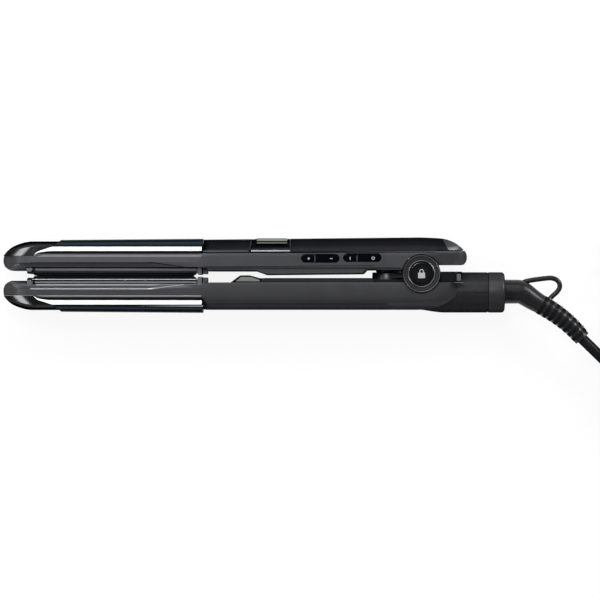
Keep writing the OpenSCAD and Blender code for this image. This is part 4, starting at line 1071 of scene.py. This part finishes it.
# ---- Strain relief: a bent core with eight rings, and light lugs between them that paint the highlights along its edges ----
NECK = Vector((56, SWIVEL_Y, MID))
RELIEF = [(-7.6, 0.45, 0), (-3, 0.45, 0), (1, 0.4, 0), (3, -0.2, 0), (5.5, -1.7, 0), (9, -4.1, 0),
          (13, -6.5, 0), (17.2, -9, 0), (21.4, -11.7, 0), (25.7, -14.8, 0), (30, -18.4, 0),
          (34.2, -22.5, 0), (37.9, -26.7, 0)]
RELIEF_R = [(0, 7.0), (9, 6.9), (22, 5.7), (38, 5.3), (60, 4.6)]  # radius along its length
RELIEF_STEPS = 540
RELIEF_SIDES = 48
RINGS = 8
RING_START = 23.5
RING_PITCH = 3.85
RING_W = 2.3
RING_PROUD = 0.14
LUG_R = 0.55
LUG_HALF = 0.6
LUG_PLACES = {"a": (0.97, 0.25), "b": (-0.86, 0.5)}  # sideways and upwards, in radii of the core


def neck_curve(points, n):
    """Evenly spaced points on a curve through places seen from the neck, in metres."""
    return even_points([(NECK + p) * MM for p in spline(points, 6)], n)


relief_path = neck_curve(RELIEF, RELIEF_STEPS)
relief_len = path_length(relief_path) / MM


def relief_radius(q):
    return along_points(RELIEF_R, q * relief_len) * MM


def relief_step(distance):
    return round(distance / relief_len * RELIEF_STEPS)


def relief_ring(k, start, r0):
    """One ring with a rounded edge."""
    end = min(RELIEF_STEPS, relief_step(RING_START + RING_PITCH * k + RING_W))

    def radius(q):
        return r0 + MM * (RING_PROUD - 0.3 * max(0, abs(q - 0.5) * 2 - 0.75))

    o = tube("relief_ring_%d" % (k + 1), relief_path[start:end + 1], radius, RELIEF_SIDES, RUBBER)
    seat(o, "swivel")


def relief_highlight_lugs(k, start, r0):
    """Light lugs in the gap before a ring: painted highlights along the relief's edges."""
    i = start - relief_step((RING_PITCH - RING_W) / 2)
    along = (relief_path[i + 2] - relief_path[i - 2]).normalized()
    for side, (out, up) in LUG_PLACES.items():
        place = relief_path[i] + (Vector((-along.y, along.x, 0)) * out + Vector((0, 0, up))) * r0
        reach = along * LUG_HALF * MM
        o = tube("relief_lug_%d%s" % (k, side), [place - reach, place + reach], LUG_R * MM, 12, DIM_HIGHLIGHT_GREY)
        seat(o, "swivel")


relief = tube("look_strain_relief", relief_path[::3], relief_radius, RELIEF_SIDES, CORE)
seat(relief, "swivel", stands_for=("strain_relief",))
for k in range(RINGS):
    ring_start = relief_step(RING_START + RING_PITCH * k)
    ring_r = relief_radius(ring_start / RELIEF_STEPS)
    relief_ring(k, ring_start, ring_r)
    if k > 0:
        relief_highlight_lugs(k, ring_start, ring_r)

# ---- Hanging loop on the strain relief ----
LOOP = [(2, 5.1, 0), (6, 6.6, 0), (12, 7.6, 0), (17, 8.2, 0), (20, 8.3, 0), (22.9, 7.3, 0), (24.6, 5.1, 0),
        (24.6, 2.5, 0), (23.0, 0.1, 0), (20.4, -2.3, 0), (17.9, -4.9, 0), (16.4, -6.3, 0)]
LOOP_R = 1.45
loop = tube("look_hanging_loop", neck_curve(LOOP, 120), LOOP_R * MM, 24, CORE)
seat(loop, "swivel", stands_for=("hanging_loop",))

# ---- Display: bright line, three bands, side lines, frame end and the number on its top ----
DISPLAY_X0 = -94.7
DISPLAY_X1 = -77.3
DISPLAY_INSET = 1.2
DISPLAY_LINE = box(-98, 13.75, -75.6, 14.65)
DISPLAY_FRAME = box(DISPLAY_X0 - 0.9, 18.3, DISPLAY_X0, 21.2)
DISPLAY_BANDS = (("display_low", 18.5, 19.3, LCD_LOW), ("display_gap", 19.3, 20.0, BLACK),
                 ("display_top", 20.0, 21.6, LCD))
NUMBER_X = -86.35
NUMBER_U = 21.63
DIGIT_PITCH = 5.6
SEGMENTS = {"2": "abged", "0": "abcdef"}
SEGMENT_BOX = {"a": box(-1.6, 3.4, 1.6, 4), "g": box(-1.6, -0.3, 1.6, 0.3), "d": box(-1.6, -4, 1.6, -3.4),
               "f": box(-2.2, 0.4, -1.6, 3.4), "b": box(1.6, 0.4, 2.2, 3.4),
               "e": box(-2.2, -3.4, -1.6, -0.4), "c": box(1.6, -3.4, 2.2, -0.4)}


def display_number(text):
    """Seven-segment digits, flat on the display's top."""
    top = arm_y(NUMBER_U, False)
    bm = bmesh.new()
    for k, digit in enumerate(text):
        cx = NUMBER_X + DIGIT_PITCH * (k - 1)
        for segment in SEGMENTS[digit]:
            places = [((cx + a) * MM, top * MM, (MID - b) * MM) for a, b in SEGMENT_BOX[segment]]
            bm.faces.new([bm.verts.new(p) for p in places])
    seat(mesh_object("display_number", bm, BLACK), "upper_arm")


both_faces("display_line", DISPLAY_LINE, (1.2, 0.1), DIM, False, "chrome", ("display_trim",), 0.2)
for name, lo, hi, material in DISPLAY_BANDS:
    band = across(name, box(DISPLAY_X0, lo, DISPLAY_X1, hi), DISPLAY_INSET, material, False, 0.1)
    seat(band, "upper_arm", stands_for=("display_window",))
crown_line("display_side_1", (-99.0, 14.7), (-97.9, 20.2), -0.08, 0.24, CUP_SHADE)
crown_line("display_side_2", (-75.5, 14.7), (-75.7, 20.2), -0.08, 0.24, CUP_SHADE)
crown_line("key_line_1", (-61.3, 8.2), (-61.3, 11.5), 0.12, 0.2, GREY)
crown_line("key_line_2", (-37.1, 8.3), (-37.1, 11.6), 0.12, 0.2, GREY)
frame_end = across("display_frame", DISPLAY_FRAME, DISPLAY_INSET, GLASS, False, 0.1)
seat(frame_end, "upper_arm")
display_number("200")

# ---- Floor: white to the camera and in reflections, paler as a light on the object ----
FLOOR_HALF = 6
FLOOR_Z = -0.0005
FLOOR_GLOW = 0.9  # share of its own light in what the camera and reflections see


def math_node(n, l, operation, first, second):
    """A maths node on two sockets, or on a socket and a number."""
    node = n.new("ShaderNodeMath")
    node.operation = operation
    l.new(first, node.inputs[0])
    if isinstance(second, float):
        node.inputs[1].default_value = second
    else:
        l.new(second, node.inputs[1])
    return node.outputs[0]


def floor_material():
    material = bpy.data.materials.new("floor")
    n, l = nodes_of(material)
    matt = n["Principled BSDF"]
    fill(matt, Base_Color=(0.8, 0.8, 0.8, 1), Roughness=0.9, Specular_IOR_Level=0)
    glow = n.new("ShaderNodeEmission")
    fill(glow, Color=(1, 1, 1, 1), Strength=1)
    rays = n.new("ShaderNodeLightPath").outputs
    seen = math_node(n, l, "MAXIMUM", rays["Is Camera Ray"], rays["Is Glossy Ray"])
    seen = math_node(n, l, "MAXIMUM", seen, rays["Is Transmission Ray"])
    mix = n.new("ShaderNodeMixShader")
    l.new(math_node(n, l, "MULTIPLY", seen, FLOOR_GLOW), mix.inputs[0])
    l.new(matt.outputs[0], mix.inputs[1])
    l.new(glow.outputs[0], mix.inputs[2])
    l.new(mix.outputs[0], n["Material Output"].inputs["Surface"])
    return material


floor_mesh = bpy.data.meshes.new("floor")
floor_corners = box(-FLOOR_HALF, -FLOOR_HALF, FLOOR_HALF, FLOOR_HALF)
floor_mesh.from_pydata([(x, y, FLOOR_Z) for x, y in floor_corners], [], [(0, 1, 2, 3)])
floor = link("floor", floor_mesh, floor_material())


# ---- Lamps and background: places and sizes in metres, power in watts ----
def area(name, place, target, width, height, power):
    """A rectangular lamp that faces a target."""
    data = bpy.data.lights.new(name, "AREA")
    data.energy = power
    data.shape = "RECTANGLE"
    data.size = width
    data.size_y = height
    o = bpy.data.objects.new(name, data)
    o.location = place
    o.rotation_mode = "QUATERNION"
    o.rotation_quaternion = (Vector(target) - Vector(place)).to_track_quat("-Z", "Y")
    scene.collection.objects.link(o)


NOSE = (-0.235, 0, 0.02)  # what the lamps on the left face
area("top", (-0.3, 1.1, 0.9), (-0.08, 0, 0), 1.3, 0.6, 9)
area("front", (-0.35, 0.72, 2.0), (-0.12, 0, 0), 0.5, 0.4, 14)
area("bottom", (0.0, -1.0, 0.8), (-0.05, 0, 0), 1.0, 0.4, 0.6)
area("left_high", (-0.885, 0.46, 0.74), NOSE, 0.36, 0.36, 4.8)
area("left_low", (-0.885, -0.46, 0.74), NOSE, 0.36, 0.36, 4.8)
area("left", (-0.95, 0, 0.8), NOSE, 0.4, 0.3, 1)
area("right", (0.87, 0.58, 0.58), (0.02, 0.01, 0.03), 0.42, 0.42, 12)

world = bpy.data.worlds.new("world")
scene.world = world
world.use_nodes = True
background = world.node_tree.nodes["Background"]
fill(background, Color=(1, 1, 1, 1), Strength=0.14)
